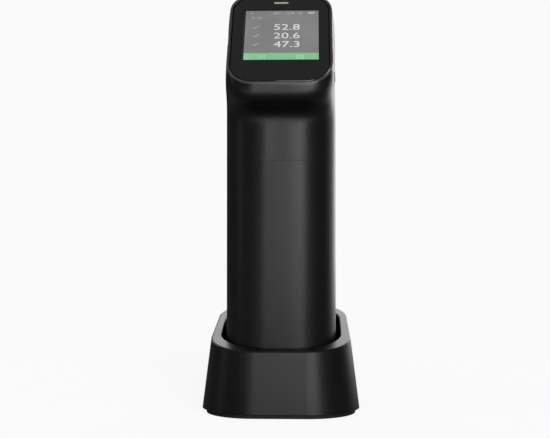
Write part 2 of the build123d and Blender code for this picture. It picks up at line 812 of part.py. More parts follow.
with BuildPart() as nose_screws:
    with Locations(Plane.XY.offset(seat_z)):
        with GridLocations(nose_screw_spacing_x, nose_screw_spacing_y, 2, 2):
            add(countersunk_screw(nose_screw_radius, nose_screw_length, nose_thickness))
nose_screws.part.label = "nose_screws"

port_bottom = seat_z - port_gap
port_neck_top = port_bottom + port_neck_rise
with BuildPart() as port_ring:
    with BuildSketch(Plane.XZ):
        with BuildLine():
            Polyline(
                (port_aperture_radius, port_bottom),
                (port_flange_radius, port_bottom),
                (port_flange_radius, port_bottom + port_flange_thickness),
                (port_neck_radius, port_bottom + port_flange_thickness),
                (port_neck_radius, port_neck_top),
                (sphere_port_radius, port_neck_top),
                close=True,
            )
        make_face()
    revolve(axis=Axis.Z)
    # three bayonet lugs over the nose plate
    with BuildSketch(Plane.XY.offset(case_z + spin_gap)):
        with PolarLocations(port_neck_radius, 3):
            Rectangle(2 * port_lug_reach, port_lug_width)
        Circle(port_neck_radius + port_lug_reach, mode=Mode.INTERSECT)
        Circle(port_neck_radius - slip_gap, mode=Mode.SUBTRACT)
    extrude(amount=port_lug_thickness)
port_ring.part.label = "port_ring"

# ---------------------------------------------------------------- keys and flap
key_skin = case_volume(-measure_key_proud)
with BuildPart() as measure_key:
    with BuildSketch(measure_key_plane.offset(measure_key_face)):
        SlotOverall(measure_key_length, measure_key_width, rotation=90)
    extrude(amount=handle_depth / 2)
    add(key_skin, mode=Mode.INTERSECT)
    fillet(measure_key.faces().sort_by(Axis.Y)[-1].outer_wire().edges(), radius=measure_key_proud / 2)
    # flange that keeps the key in the case
    with BuildSketch(measure_key_plane.offset(handle_depth / 2 - case_wall - key_gap - key_flange_thickness)):
        SlotOverall(
            measure_key_length + 2 * (key_gap + key_flange_width),
            measure_key_width + 2 * (key_gap + key_flange_width),
            rotation=90,
        )
    extrude(amount=key_flange_thickness)
    # hollow behind the face, round the boss that meets the switch
    with BuildSketch(measure_key_plane.offset(measure_key_face)):
        SlotOverall(measure_key_length - 2 * case_wall, measure_key_width - 2 * case_wall, rotation=90)
        Circle(switch_size / 2, mode=Mode.SUBTRACT)
    extrude(amount=handle_depth / 2 - case_wall - measure_key_face, mode=Mode.SUBTRACT)
measure_key.part.label = "measure_key"

power_skin = case_volume(-power_key_proud)
power_key_length = head_side - power_key_inner
with BuildPart() as power_key:
    with BuildSketch(power_side.offset(-power_key_length)):
        Circle(power_key_radius)
    extrude(amount=2 * power_key_length)
    add(power_skin, mode=Mode.INTERSECT)
    with BuildSketch(power_side.offset(-case_wall - key_gap - power_key_flange)):
        Circle(power_key_radius + key_gap + power_key_flange)
    extrude(amount=power_key_flange)
power_key.part.label = "power_key"

flap_skin = case_volume(-flap_proud)
flap_hinge_offset = -flap_length / 2 + flap_barrel_radius
with BuildPart() as usb_flap:
    with BuildSketch(socket_side.offset(-flap_thickness)):
        with Locations((flap_barrel_radius / 2, 0)):
            Rectangle(flap_length - flap_barrel_radius, flap_width)
    extrude(amount=flap_thickness + 2 * flap_proud)
    add(flap_skin, mode=Mode.INTERSECT)
    # round hinge edge
    flap_end = socket_side.offset(-flap_barrel_radius)
    flap_barrel_plane = Plane(
        origin=flap_end.from_local_coords(Vector(flap_hinge_offset, -flap_width / 2, 0)),
        z_dir=flap_end.y_dir,
    )
    with BuildSketch(flap_barrel_plane):
        Circle(flap_barrel_radius)
    extrude(amount=flap_width)
usb_flap.part.label = "usb_flap"

# ---------------------------------------------------------------- display
with BuildPart() as display_window:
    with BuildSketch(panel_at(glass_bottom)):
        RectangleRounded(glass_width, glass_length, glass_radius)
    extrude(amount=glass_thickness)
    chamfer(display_window.faces().sort_by(Axis(panel_plane.origin, panel_plane.z_dir))[-1].edges(), glass_edge_break)
    with BuildSketch(panel_at(glass_bottom)):
        with Locations((0, light_slot_offset)):
            SlotOverall(light_slot_width + slip_gap, light_slot_height + slip_gap)
    extrude(amount=glass_thickness, mode=Mode.SUBTRACT)
display_window.part.label = "display_window"

gasket_margin = 1.4
with BuildPart() as window_gasket:
    with BuildSketch(panel_at(shelf_top)):
        RectangleRounded(
            glass_width - gasket_margin,
            glass_length - gasket_margin,
            glass_radius - gasket_margin / 2,
        )
        with Locations((0, screen_offset)):
            Rectangle(lcd_width + 4 * key_gap, lcd_length + 4 * key_gap, mode=Mode.SUBTRACT)
        with Locations((0, light_slot_offset)):
            Rectangle(light_slot_width + 2 * slip_gap, light_slot_height + 2 * slip_gap, mode=Mode.SUBTRACT)
    extrude(amount=gasket_thickness)
window_gasket.part.label = "window_gasket"

lcd_top = glass_bottom + lcd_air
lcd_bottom = lcd_top + lcd_thickness
with BuildPart() as lcd_module:
    with BuildSketch(panel_at(lcd_bottom)):
        with Locations((0, screen_offset)):
            Rectangle(lcd_width, lcd_length)
    extrude(amount=lcd_thickness)
    chamfer(lcd_module.edges().filter_by(Axis(panel_plane.origin, panel_plane.z_dir)), length=0.5)
lcd_module.part.label = "lcd_module"

with BuildPart() as lcd_frame:
    with BuildSketch(panel_at(lcd_bottom + lcd_frame_thickness)):
        with Locations((0, screen_offset)):
            Rectangle(
                lcd_width + 2 * (key_gap + lcd_frame_wall),
                lcd_length + 2 * lcd_frame_wall,
            )
    extrude(amount=lcd_bottom + lcd_frame_thickness - shelf_bottom)
    with BuildSketch(panel_at(lcd_bottom)):
        with Locations((0, screen_offset)):
            Rectangle(lcd_width + 2 * slip_gap, lcd_length + 2 * slip_gap)
    extrude(amount=lcd_bottom - shelf_bottom, mode=Mode.SUBTRACT)
    # window for the display's ribbon
    with BuildSketch(panel_at(lcd_bottom + lcd_frame_thickness)):
        with Locations((0, screen_offset - lcd_length / 3)):
            SlotOverall(lcd_width / 2, lcd_length / 8)
    extrude(amount=lcd_frame_thickness, mode=Mode.SUBTRACT)
lcd_frame.part.label = "lcd_frame"

status_led_top = board_depth - status_led_height
with BuildPart() as light_pipe:
    with BuildSketch(panel_at(status_led_top - slip_gap)):
        with Locations((0, light_slot_offset)):
            SlotOverall(light_slot_width, light_slot_height)
    extrude(amount=status_led_top - slip_gap - glass_top)
    with BuildSketch(panel_at(shelf_bottom + light_pipe_flange)):
        with Locations((0, light_slot_offset)):
            RectangleRounded(light_slot_width + 4, light_slot_height + 1.6, 0.8)
    extrude(amount=light_pipe_flange)
light_pipe.part.label = "light_pipe"

with BuildPart() as status_led:
    with BuildSketch(panel_at(board_depth)):
        with Locations((0, light_slot_offset)):
            Rectangle(status_led_width, status_led_depth)
    extrude(amount=status_led_height)
status_led.part.label = "status_led"

with BuildPart() as main_board:
    with BuildSketch(panel_at(board_back)):
        RectangleRounded(board_width, board_length, 2.0)
        with GridLocations(board_post_spacing_x, board_post_spacing_y, 2, 2):
            Circle(board_screw_radius + slip_gap, mode=Mode.SUBTRACT)
    extrude(amount=board_thickness)
main_board.part.label = "main_board"

with BuildPart() as board_screws:
    with BuildSketch(panel_at(board_back)):
        with GridLocations(board_post_spacing_x, board_post_spacing_y, 2, 2):
            Circle(2 * board_screw_radius)
    extrude(amount=-1.2)
    with BuildSketch(panel_at(board_back)):
        with GridLocations(board_post_spacing_x, board_post_spacing_y, 2, 2):
            Circle(board_screw_radius * thread_share)
    extrude(amount=board_screw_length)
board_screws.part.label = "board_screws"

with BuildPart() as board_chips:
    with BuildSketch(panel_at(board_back)):
        with Locations((board_width / 8, chip_row_offset)):
            Rectangle(main_chip_size, main_chip_size)
        with Locations((-board_width / 4, chip_row_offset), (-board_width / 4, -chip_row_offset / 5)):
            Rectangle(small_chip_width, small_chip_length)
        with Locations((board_width / 5, -chip_row_offset / 1.5)):
            Rectangle(small_chip_length, main_chip_size / 1.4)
    extrude(amount=-chip_height)
board_chips.part.label = "board_chips"

with BuildPart() as buzzer:
    with BuildSketch(panel_at(board_back)):
        with Locations((-board_width / 4, -board_length / 4)):
            Circle(buzzer_radius)
    extrude(amount=-buzzer_height)
    with BuildSketch(panel_at(board_back + buzzer_height)):
        with Locations((-board_width / 4, -board_length / 4)):
            Circle(buzzer_bore)
    extrude(amount=buzzer_height / 3, mode=Mode.SUBTRACT)
buzzer.part.label = "buzzer"

power_switch_reach = power_key_inner - power_key_travel - port_gap
power_plunger_front = power_switch_reach - power_plunger_length
with BuildPart() as power_switch:
    with BuildSketch(side_plane(1, power_plunger_front - power_switch_body, power_key_offset, power_key_depth)):
        Rectangle(switch_size, power_switch_height)
    extrude(amount=power_switch_body)
    with BuildSketch(side_plane(1, power_plunger_front, power_key_offset, power_key_depth)):
        Circle(power_plunger_radius)
    extrude(amount=power_plunger_length)
power_switch.part.label = "power_switch"

with BuildPart() as usb_socket:
    with BuildSketch(side_plane(-1, socket_mouth - socket_depth, socket_offset, socket_depth_in_panel)):
        SlotOverall(socket_width, socket_height)
    extrude(amount=socket_depth)
    with BuildSketch(side_plane(-1, socket_mouth, socket_offset, socket_depth_in_panel)):
        SlotOverall(socket_width - 2 * socket_wall, socket_height - 2 * socket_wall)
        Rectangle(socket_width - 2.6, 0.7, mode=Mode.SUBTRACT)
    extrude(amount=-(socket_depth - 1.0), mode=Mode.SUBTRACT)
usb_socket.part.label = "usb_socket"

# ---------------------------------------------------------------- optics
sphere_outer = sphere_radius + sphere_wall
sphere_screw_top = sphere_height + sphere_flange_thickness + chassis_tab
view_turn = radians(view_angle)
port_wall_z = sphere_height - sqrt(sphere_radius**2 - sphere_port_radius**2)
crown_top = sphere_height + sphere_outer


def view_plane(height):
    """Plane across the line of sight where it passes a height."""
    return Plane(
        origin=(0, (height - port_wall_z) * tan(view_turn), height),
        x_dir=(1, 0, 0),
        z_dir=(0, sin(view_turn), cos(view_turn)),
    )


def sphere_half(side):
    """Half of the integrating sphere with its flange and ears, above (1) or below (-1)."""
    with BuildPart() as half:
        with BuildSketch(Plane.XZ):
            with Locations((0, sphere_height)):
                Circle(sphere_outer)
                Rectangle(sphere_outer, 2 * sphere_outer, align=(Align.MAX, Align.CENTER), mode=Mode.SUBTRACT)
                Rectangle(
                    2 * sphere_outer,
                    sphere_outer,
                    align=(Align.CENTER, Align.MAX if side > 0 else Align.MIN),
                    mode=Mode.SUBTRACT,
                )
        revolve(axis=Axis.Z)
        with BuildSketch(Plane.XY.offset(sphere_height)):
            Circle(sphere_flange_radius)
            for turn in (1, -1):
                SlotCenterToCenter(
                    2 * hypot(ear_x, ear_y),
                    2 * ear_radius,
                    rotation=turn * degrees(atan2(ear_y, ear_x)),
                )
        extrude(amount=side * sphere_flange_thickness)
    return half.part


with BuildPart() as sphere_hollow:
    with BuildSketch(Plane.XZ):
        with Locations((0, sphere_height)):
            Circle(sphere_radius)
            Rectangle(sphere_radius, 2 * sphere_radius, align=(Align.MAX, Align.CENTER), mode=Mode.SUBTRACT)
    revolve(axis=Axis.Z)
sphere_hollow = sphere_hollow.part

with BuildPart() as sphere_lower:
    add(sphere_half(-1))
    with BuildSketch(Plane.XY.offset(port_neck_top + port_gap)):
        Circle(sphere_port_radius + sphere_collar_wall)
    extrude(amount=port_wall_z - port_neck_top)
    with BuildSketch(Plane.XY.offset(port_neck_top + port_gap)):
        Circle(sphere_outer)
    extrude(amount=-2 * sphere_wall, mode=Mode.SUBTRACT)
    add(sphere_hollow, mode=Mode.SUBTRACT)
    with BuildSketch(Plane.XY.offset(port_neck_top)):
        Circle(sphere_port_radius)
    extrude(amount=sphere_radius, mode=Mode.SUBTRACT)
    with BuildSketch(Plane.XY.offset(sphere_height)):
        with Locations(*ear_places):
            Circle(sphere_screw_radius + slip_gap)
    extrude(amount=-sphere_flange_thickness, mode=Mode.SUBTRACT)
sphere_lower.part.label = "sphere_lower"

with BuildPart() as sphere_upper:
    add(sphere_half(1))
    with BuildSketch(Plane.XY.offset(sphere_height + sphere_flange_thickness)):
        Circle(crown_radius)
    extrude(amount=crown_top - sphere_height - sphere_flange_thickness)
    add(sphere_hollow, mode=Mode.SUBTRACT)
    with BuildSketch(view_plane(sphere_height)):
        Circle(view_bore_radius)
    extrude(amount=2 * sphere_outer, mode=Mode.SUBTRACT)
    with BuildSketch(view_plane(crown_top - view_seat)):
        Circle(view_bore_radius + view_tube_wall + spin_gap)
    extrude(amount=2 * sphere_outer, mode=Mode.SUBTRACT)
    with BuildSketch(Plane.XY.offset(crown_top)):
        with PolarLocations(lamp_circle_radius, lamp_count):
            Circle(lamp_radius + slip_gap)
    extrude(amount=-sphere_wall - sphere_outer / 2, mode=Mode.SUBTRACT)
    with BuildSketch(Plane.XY.offset(sphere_height)):
        with Locations(*ear_places):
            Circle(sphere_screw_radius + slip_gap)
    extrude(amount=sphere_flange_thickness, mode=Mode.SUBTRACT)
sphere_upper.part.label = "sphere_upper"

with BuildPart() as sphere_screws:
    with BuildSketch(Plane.XY.offset(sphere_screw_top)):
        with Locations(*ear_places):
            Circle(2 * sphere_screw_radius)
    extrude(amount=sphere_screw_radius)
    with BuildSketch(Plane.XY.offset(sphere_screw_top)):
        with Locations(*ear_places):
            Circle(sphere_screw_radius * thread_share)
    extrude(amount=-sphere_screw_length + slip_gap)
sphere_screws.part.label = "sphere_screws"

with BuildPart() as light_board:
    with BuildSketch(Plane.XY.offset(crown_top)):
        Circle(crown_radius)
        Circle(lamp_board_bore, mode=Mode.SUBTRACT)
    extrude(amount=board_thickness)
light_board.part.label = "light_board"

with BuildPart() as light_leds:
    with BuildSketch(Plane.XY.offset(crown_top)):
        with PolarLocations(lamp_circle_radius, lamp_count):
            Circle(lamp_radius)
    extrude(amount=-sphere_wall)
light_leds.part.label = "light_leds"

chassis_deck_top = chassis_deck_height + chassis_deck
view_tube_length = (chassis_deck_top + view_seat - crown_top + view_seat) / cos(view_turn)
with BuildPart() as view_tube:
    with BuildSketch(view_plane(crown_top - view_seat + spin_gap)):
        Circle(view_bore_radius + view_tube_wall)
        Circle(view_bore_radius, mode=Mode.SUBTRACT)
    extrude(amount=view_tube_length - 2 * spin_gap)
view_tube.part.label = "view_tube"

lens_height = (crown_top + chassis_deck_height) / 2
with BuildPart() as view_lens:
    with BuildSketch(view_plane(lens_height)):
        Circle(view_bore_radius - spin_gap)
    extrude(amount=lens_thickness)
    fillet(view_lens.edges().sort_by(Axis.Z)[-1], radius=lens_thickness / 3)
view_lens.part.label = "view_lens"

# ---------------------------------------------------------------- chassis
tab_top = sphere_height + sphere_flange_thickness + chassis_tab
with BuildPart() as chassis:
    for side in (-1, 1):
        for end in (-1, 1):
            with BuildSketch(Plane.XY.offset(tab_top - chassis_tab)):
                with Locations((side * ear_x, end * (ear_y - ear_radius))):
                    Rectangle(
                        chassis_leg_width,
                        chassis_leg_offset + chassis_leg / 2 - ear_y + ear_radius,
                        align=(Align.CENTER, Align.MIN if end > 0 else Align.MAX),
                    )
            extrude(amount=chassis_tab)
            with BuildSketch(Plane.XY.offset(tab_top)):
                with Locations((side * ear_x, end * chassis_leg_offset)):
                    Rectangle(chassis_leg_width, chassis_leg)
            extrude(amount=chassis_deck_height - tab_top)
    with BuildSketch(Plane.XY.offset(tab_top)):
        with Locations(*ear_places):
            Circle(sphere_screw_radius + slip_gap)
    extrude(amount=-chassis_tab, mode=Mode.SUBTRACT)
    with BuildSketch(Plane.XY.offset(chassis_deck_height)):
        Rectangle(2 * ear_x + chassis_leg_width, 2 * chassis_leg_offset + chassis_leg)
        with Locations((0, chassis_upright_front + chassis_upright / 2)):
            Rectangle(2 * chassis_half_width, 2 * chassis_upright)
        with Locations(view_plane(chassis_deck_height + chassis_deck / 2).origin):
            Circle(view_bore_radius + 3 * view_tube_wall, mode=Mode.SUBTRACT)
    extrude(amount=chassis_deck)
    with BuildSketch(Plane.XY.offset(chassis_deck_top)):
        with Locations((0, chassis_upright_front)):
            Rectangle(2 * chassis_half_width, chassis_upright, align=(Align.CENTER, Align.MIN))
    extrude(amount=chassis_top - chassis_deck_top)
    # lightening windows in the upright
    with BuildSketch(Plane.XZ.offset(-chassis_upright_front)):
        with Locations((0, chassis_top - 12)):
            SlotOverall(chassis_half_width, 10)
    extrude(amount=-chassis_upright, mode=Mode.SUBTRACT)
chassis.part.label = "chassis"

spectrometer_front = chassis_upright_front + chassis_upright
spectrometer_back = spectrometer_front + spectrometer_depth
cavity_floor = chassis_deck_top + spectrometer_floor
cavity_top = chassis_deck_top + spectrometer_height - spectrometer_wall
cavity_front = spectrometer_front + spectrometer_wall
lug_radius = 2.6
lug_places = [
    (side * (spectrometer_width / 2 - lug_radius), chassis_deck_top + spectrometer_height - lug_radius)
    for side in (-1, 1)
] + [
    (side * (spectrometer_width / 2 - lug_radius), chassis_deck_top + lug_radius)
    for side in (-1, 1)
]
with BuildPart() as spectrometer_body:
    with BuildSketch(Plane.XZ.offset(-spectrometer_front)):
        with Locations((0, chassis_deck_top + spectrometer_height / 2)):
            Rectangle(spectrometer_width, spectrometer_height)
    extrude(amount=-spectrometer_depth)
    with BuildSketch(Plane.XZ.offset(-cavity_front)):
        with Locations((0, (cavity_floor + cavity_top) / 2)):
            Rectangle(spectrometer_width - 2 * spectrometer_wall, cavity_top - cavity_floor)
        with Locations(*lug_places):
            Circle(lug_radius, mode=Mode.SUBTRACT)
    extrude(amount=-spectrometer_depth, mode=Mode.SUBTRACT)
    with BuildSketch(Plane.XZ.offset(-spectrometer_back)):
        with Locations(*lug_places):
            Circle(board_screw_radius * thread_share)
    extrude(amount=board_screw_length, mode=Mode.SUBTRACT)
    with BuildSketch(view_plane(chassis_deck_top - view_seat)):
        Circle(view_bore_radius + view_tube_wall + spin_gap)
    extrude(amount=2 * view_seat, mode=Mode.SUBTRACT)
    with BuildSketch(view_plane(chassis_deck_top)):
        Circle(view_bore_radius)
    extrude(amount=2 * spectrometer_floor, mode=Mode.SUBTRACT)
spectrometer_body.part.label = "spectrometer_body"

with BuildPart() as spectrometer_cover:
    with BuildSketch(Plane.XZ.offset(-spectrometer_back)):
        with Locations((0, chassis_deck_top + spectrometer_height / 2)):
            Rectangle(spectrometer_width, spectrometer_height)
        with Locations(*lug_places):
            Circle(board_screw_radius + slip_gap, mode=Mode.SUBTRACT)
    extrude(amount=-spectrometer_cover_thickness)
spectrometer_cover.part.label = "spectrometer_cover"

spectrometer_face = Plane.XZ.offset(-spectrometer_back - spectrometer_cover_thickness)
with BuildPart() as spectrometer_screws:
    with BuildSketch(spectrometer_face):
        with Locations(*lug_places):
            Circle(2 * board_screw_radius)
    extrude(amount=-1.2)
    with BuildSketch(spectrometer_face):
        with Locations(*lug_places):
            Circle(board_screw_radius * thread_share)
    extrude(amount=board_screw_length)
spectrometer_screws.part.label = "spectrometer_screws"

slit_place = view_plane(cavity_floor).origin
with BuildPart() as slit_plate:
    with BuildSketch(Plane.XY.offset(cavity_floor)):
        with Locations((0, slit_place.Y)):
            Circle(slit_plate_radius)
            Rectangle(slit_length, slit_width, mode=Mode.SUBTRACT)
    extrude(amount=slit_plate_thickness)
slit_plate.part.label = "slit_plate"

grating_y = view_plane(cavity_top).origin.Y
with BuildPart() as grating:
    with BuildSketch(Plane.YZ.offset(-grating_width / 2)):
        with BuildLine():
            Polyline(
                (grating_y - grating_length / 2, cavity_top),
                (grating_y + grating_length / 2, cavity_top),
                (grating_y + grating_length / 2, cavity_top - grating_thin_end),
                (grating_y - grating_length / 2, cavity_top - grating_thick_end),
                close=True,
            )
        make_face()
    extrude(amount=grating_width)
grating.part.label = "grating"

sensor_z = (cavity_floor + cavity_top - grating_thick_end) / 2
sensor_plane = Plane.XZ.offset(-cavity_front)
with BuildPart() as sensor_board:
    with BuildSketch(sensor_plane):
        with Locations((0, sensor_z)):
            Rectangle(sensor_board_width, sensor_board_height)
    extrude(amount=-sensor_board_thickness)
sensor_board.part.label = "sensor_board"

with BuildPart() as sensor_array:
    with BuildSketch(sensor_plane.offset(-sensor_board_thickness)):
        with Locations((0, sensor_z)):
            Rectangle(sensor_width, sensor_height)
    extrude(amount=-sensor_thickness)
sensor_array.part.label = "sensor_array"

# ---------------------------------------------------------------- battery
cell_y = chassis_upright_front - cell_gap - cell_radius
with BuildPart() as battery_pack:
    with BuildSketch(Plane.XY.offset(chassis_deck_top + cell_gap)):
        with Locations((-cell_radius - cell_gap / 2, cell_y), (cell_radius + cell_gap / 2, cell_y)):
            Circle(cell_radius)
    extrude(amount=cell_length)
battery_pack.part.label = "battery_pack"



def strap_outline(reach):
    """Draw a U round both cells, reach from their centres, open at the upright."""
    with Locations((0, cell_y)):
        SlotCenterToCenter(2 * cell_radius + cell_gap, 2 * reach)
        Rectangle(2 * (cell_radius + reach) + cell_gap, reach, align=(Align.CENTER, Align.MIN))


with BuildPart() as battery_straps:
    for height in strap_heights:
        with BuildSketch(Plane.XY.offset(height)):
            with BuildSketch(mode=Mode.PRIVATE) as inner_outline:
                strap_outline(cell_radius + cell_gap)
            strap_outline(cell_radius + cell_gap + strap_thickness)
            with Locations((0, chassis_upright_front)):
                Rectangle(2 * chassis_half_width, strap_thickness, align=(Align.CENTER, Align.MAX))
            add(inner_outline.sketch, mode=Mode.SUBTRACT)
            with Locations((0, chassis_upright_front)):
                Rectangle(4 * chassis_half_width, cell_radius, align=(Align.CENTER, Align.MIN), mode=Mode.SUBTRACT)
        extrude(amount=strap_height)
battery_straps.part.label = "battery_straps"

# ---------------------------------------------------------------- switch board
switch_board_front = switch_board_back - switch_board_thickness
switch_board_length = 2 * (switch_post_spread + switch_post_radius)
with BuildPart() as switch_board:
    with BuildSketch(measure_key_plane.offset(switch_board_front)):
        RectangleRounded(switch_board_width, switch_board_length, 1.5)
        with Locations((0, -switch_post_spread), (0, switch_post_spread)):
            Circle(board_screw_radius + slip_gap, mode=Mode.SUBTRACT)
    extrude(amount=switch_board_thickness)
switch_board.part.label = "switch_board"

with BuildPart() as switch_board_screws:
    with BuildSketch(measure_key_plane.offset(switch_board_front)):
        with Locations((0, -switch_post_spread), (0, switch_post_spread)):
            Circle(2 * board_screw_radius)
    extrude(amount=-1.2)
    with BuildSketch(measure_key_plane.offset(switch_board_front)):
        with Locations((0, -switch_post_spread), (0, switch_post_spread)):
            Circle(board_screw_radius * thread_share)
    extrude(amount=board_screw_length)
switch_board_screws.part.label = "switch_board_screws"

with BuildPart() as measure_switch:
    with BuildSketch(measure_key_plane.offset(switch_board_back)):
        RectangleRounded(switch_size, switch_size, 0.5)
    extrude(amount=switch_height)
    with BuildSketch(measure_key_plane.offset(switch_board_back)):
        Circle(switch_plunger_radius)
    extrude(amount=switch_reach - switch_board_back)
measure_switch.part.label = "measure_switch"

# ---------------------------------------------------------------- write the pieces
os.makedirs("parts", exist_ok=True)
pieces = (
    cradle_shell, cradle_bottom_plate, cradle_foot_pad, cradle_screws,
    tile_holder, white_tile, tile_cushion, seat_ring,
    front_shell, rear_shell, case_screws, nose_plate, nose_screws, port_ring,
    measure_key, power_key, usb_flap,
    display_window, window_gasket, lcd_module, lcd_frame, light_pipe, status_led,
    main_board, board_chips, board_screws, power_switch, usb_socket, buzzer,
    sphere_lower, sphere_upper, sphere_screws, light_board, light_leds, view_tube, view_lens,
    chassis, spectrometer_body, spectrometer_cover, spectrometer_screws,
    slit_plate, grating, sensor_board, sensor_array,
    battery_pack, battery_straps, switch_board, switch_board_screws, measure_switch,
)
for piece in pieces:
    export_step(piece.part, f"parts/{piece.part.label}.step")
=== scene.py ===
"""Looks for a handheld sphere spectrophotometer standing in its calibration cradle.

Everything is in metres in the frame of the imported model: Z up, the screen towards -Y.
"""

import logging
import math
from abc import ABC, abstractmethod
from dataclasses import dataclass
from enum import Enum
from typing import Dict, Sequence, Tuple, Union

import bmesh
import bpy
from mathutils import Matrix, Vector


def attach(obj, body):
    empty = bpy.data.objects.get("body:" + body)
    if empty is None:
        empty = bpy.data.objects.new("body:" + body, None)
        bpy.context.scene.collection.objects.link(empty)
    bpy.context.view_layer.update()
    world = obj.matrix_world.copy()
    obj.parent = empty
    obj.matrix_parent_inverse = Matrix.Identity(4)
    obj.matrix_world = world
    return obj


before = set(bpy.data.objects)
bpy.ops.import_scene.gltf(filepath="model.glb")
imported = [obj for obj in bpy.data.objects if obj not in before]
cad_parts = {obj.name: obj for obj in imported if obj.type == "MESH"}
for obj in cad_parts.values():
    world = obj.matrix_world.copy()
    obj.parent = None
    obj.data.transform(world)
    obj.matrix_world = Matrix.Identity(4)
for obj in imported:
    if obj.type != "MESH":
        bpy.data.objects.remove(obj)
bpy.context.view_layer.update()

LOG = logging.getLogger("colour_instrument")
MM = 0.001
WHITE = (1.0, 1.0, 1.0)

Colour = Tuple[float, float, float]
Point = Tuple[float, float, float]
Pair = Tuple[float, float]
Input = Union["Signal", float, Sequence[float]]


# ---------------------------------------------------------------- shader maths
class Signal:
    """A value inside a shader, so that its maths can be written as plain expressions."""

    def __init__(self, graph: "ShaderGraph", socket: bpy.types.NodeSocket) -> None:
        """Wrap a socket.

        Args:
            graph: The graph that owns the socket.
            socket: The output socket to read.
        """
        self.graph = graph
        self.socket = socket

    def _maths(self, operation: str, first: Input, second: Input) -> "Signal":
        """Join two values with a Math node.

        Args:
            operation: The Math node's operation.
            first: Left value.
            second: Right value.

        Returns:
            The result.
        """
        return self.graph.add("ShaderNodeMath", {"operation": operation}, {0: first, 1: second})

    def __add__(self, other: Input) -> "Signal":
        """Return self + other."""
        return self._maths("ADD", self, other)

    def __radd__(self, other: Input) -> "Signal":
        """Return other + self."""
        return self._maths("ADD", other, self)

    def __sub__(self, other: Input) -> "Signal":
        """Return self - other."""
        return self._maths("SUBTRACT", self, other)

    def __rsub__(self, other: Input) -> "Signal":
        """Return other - self."""
        return self._maths("SUBTRACT", other, self)

    def __mul__(self, other: Input) -> "Signal":
        """Return self * other."""
        return self._maths("MULTIPLY", self, other)

    def __rmul__(self, other: Input) -> "Signal":
        """Return other * self."""
        return self._maths("MULTIPLY", other, self)

    def __truediv__(self, other: Input) -> "Signal":
        """Return self / other."""
        return self._maths("DIVIDE", self, other)

    def __pow__(self, other: Input) -> "Signal":
        """Return self to the power other."""
        return self._maths("POWER", self, other)

    def __abs__(self) -> "Signal":
        """Return the distance from zero."""
        return self._maths("ABSOLUTE", self, 0.0)

    def at_least(self, other: Input) -> "Signal":
        """Return the larger of the two."""
        return self._maths("MAXIMUM", self, other)

    def sway(self, amount: float) -> "Signal":
        """Return how far a noise strays from its middle, times an amount."""
        return (self - 0.5) * amount

    def rise(self, low: float, high: float) -> "Signal":
        """Return a soft step.

        Args:
            low: Value at which the result is 0.
            high: Value at which the result is 1.

        Returns:
            The step, eased at both ends.
        """
        return self.graph.add(
            "ShaderNodeMapRange",
            {"interpolation_type": "SMOOTHSTEP"},
            {"Value": self, "From Min": low, "From Max": high},
        )


def opaque(colour: Input) -> Input:
    """Return a plain colour with full alpha, or a Signal as it is."""
    return colour if isinstance(colour, Signal) else (*colour, 1.0)


@dataclass(frozen=True)
class Pattern:
    """A noise: size of its features in metres, octaves of finer noise, and stretch along each axis."""

    size: float
    detail: float = 2.0
    stretch: Point = (1.0, 1.0, 1.0)


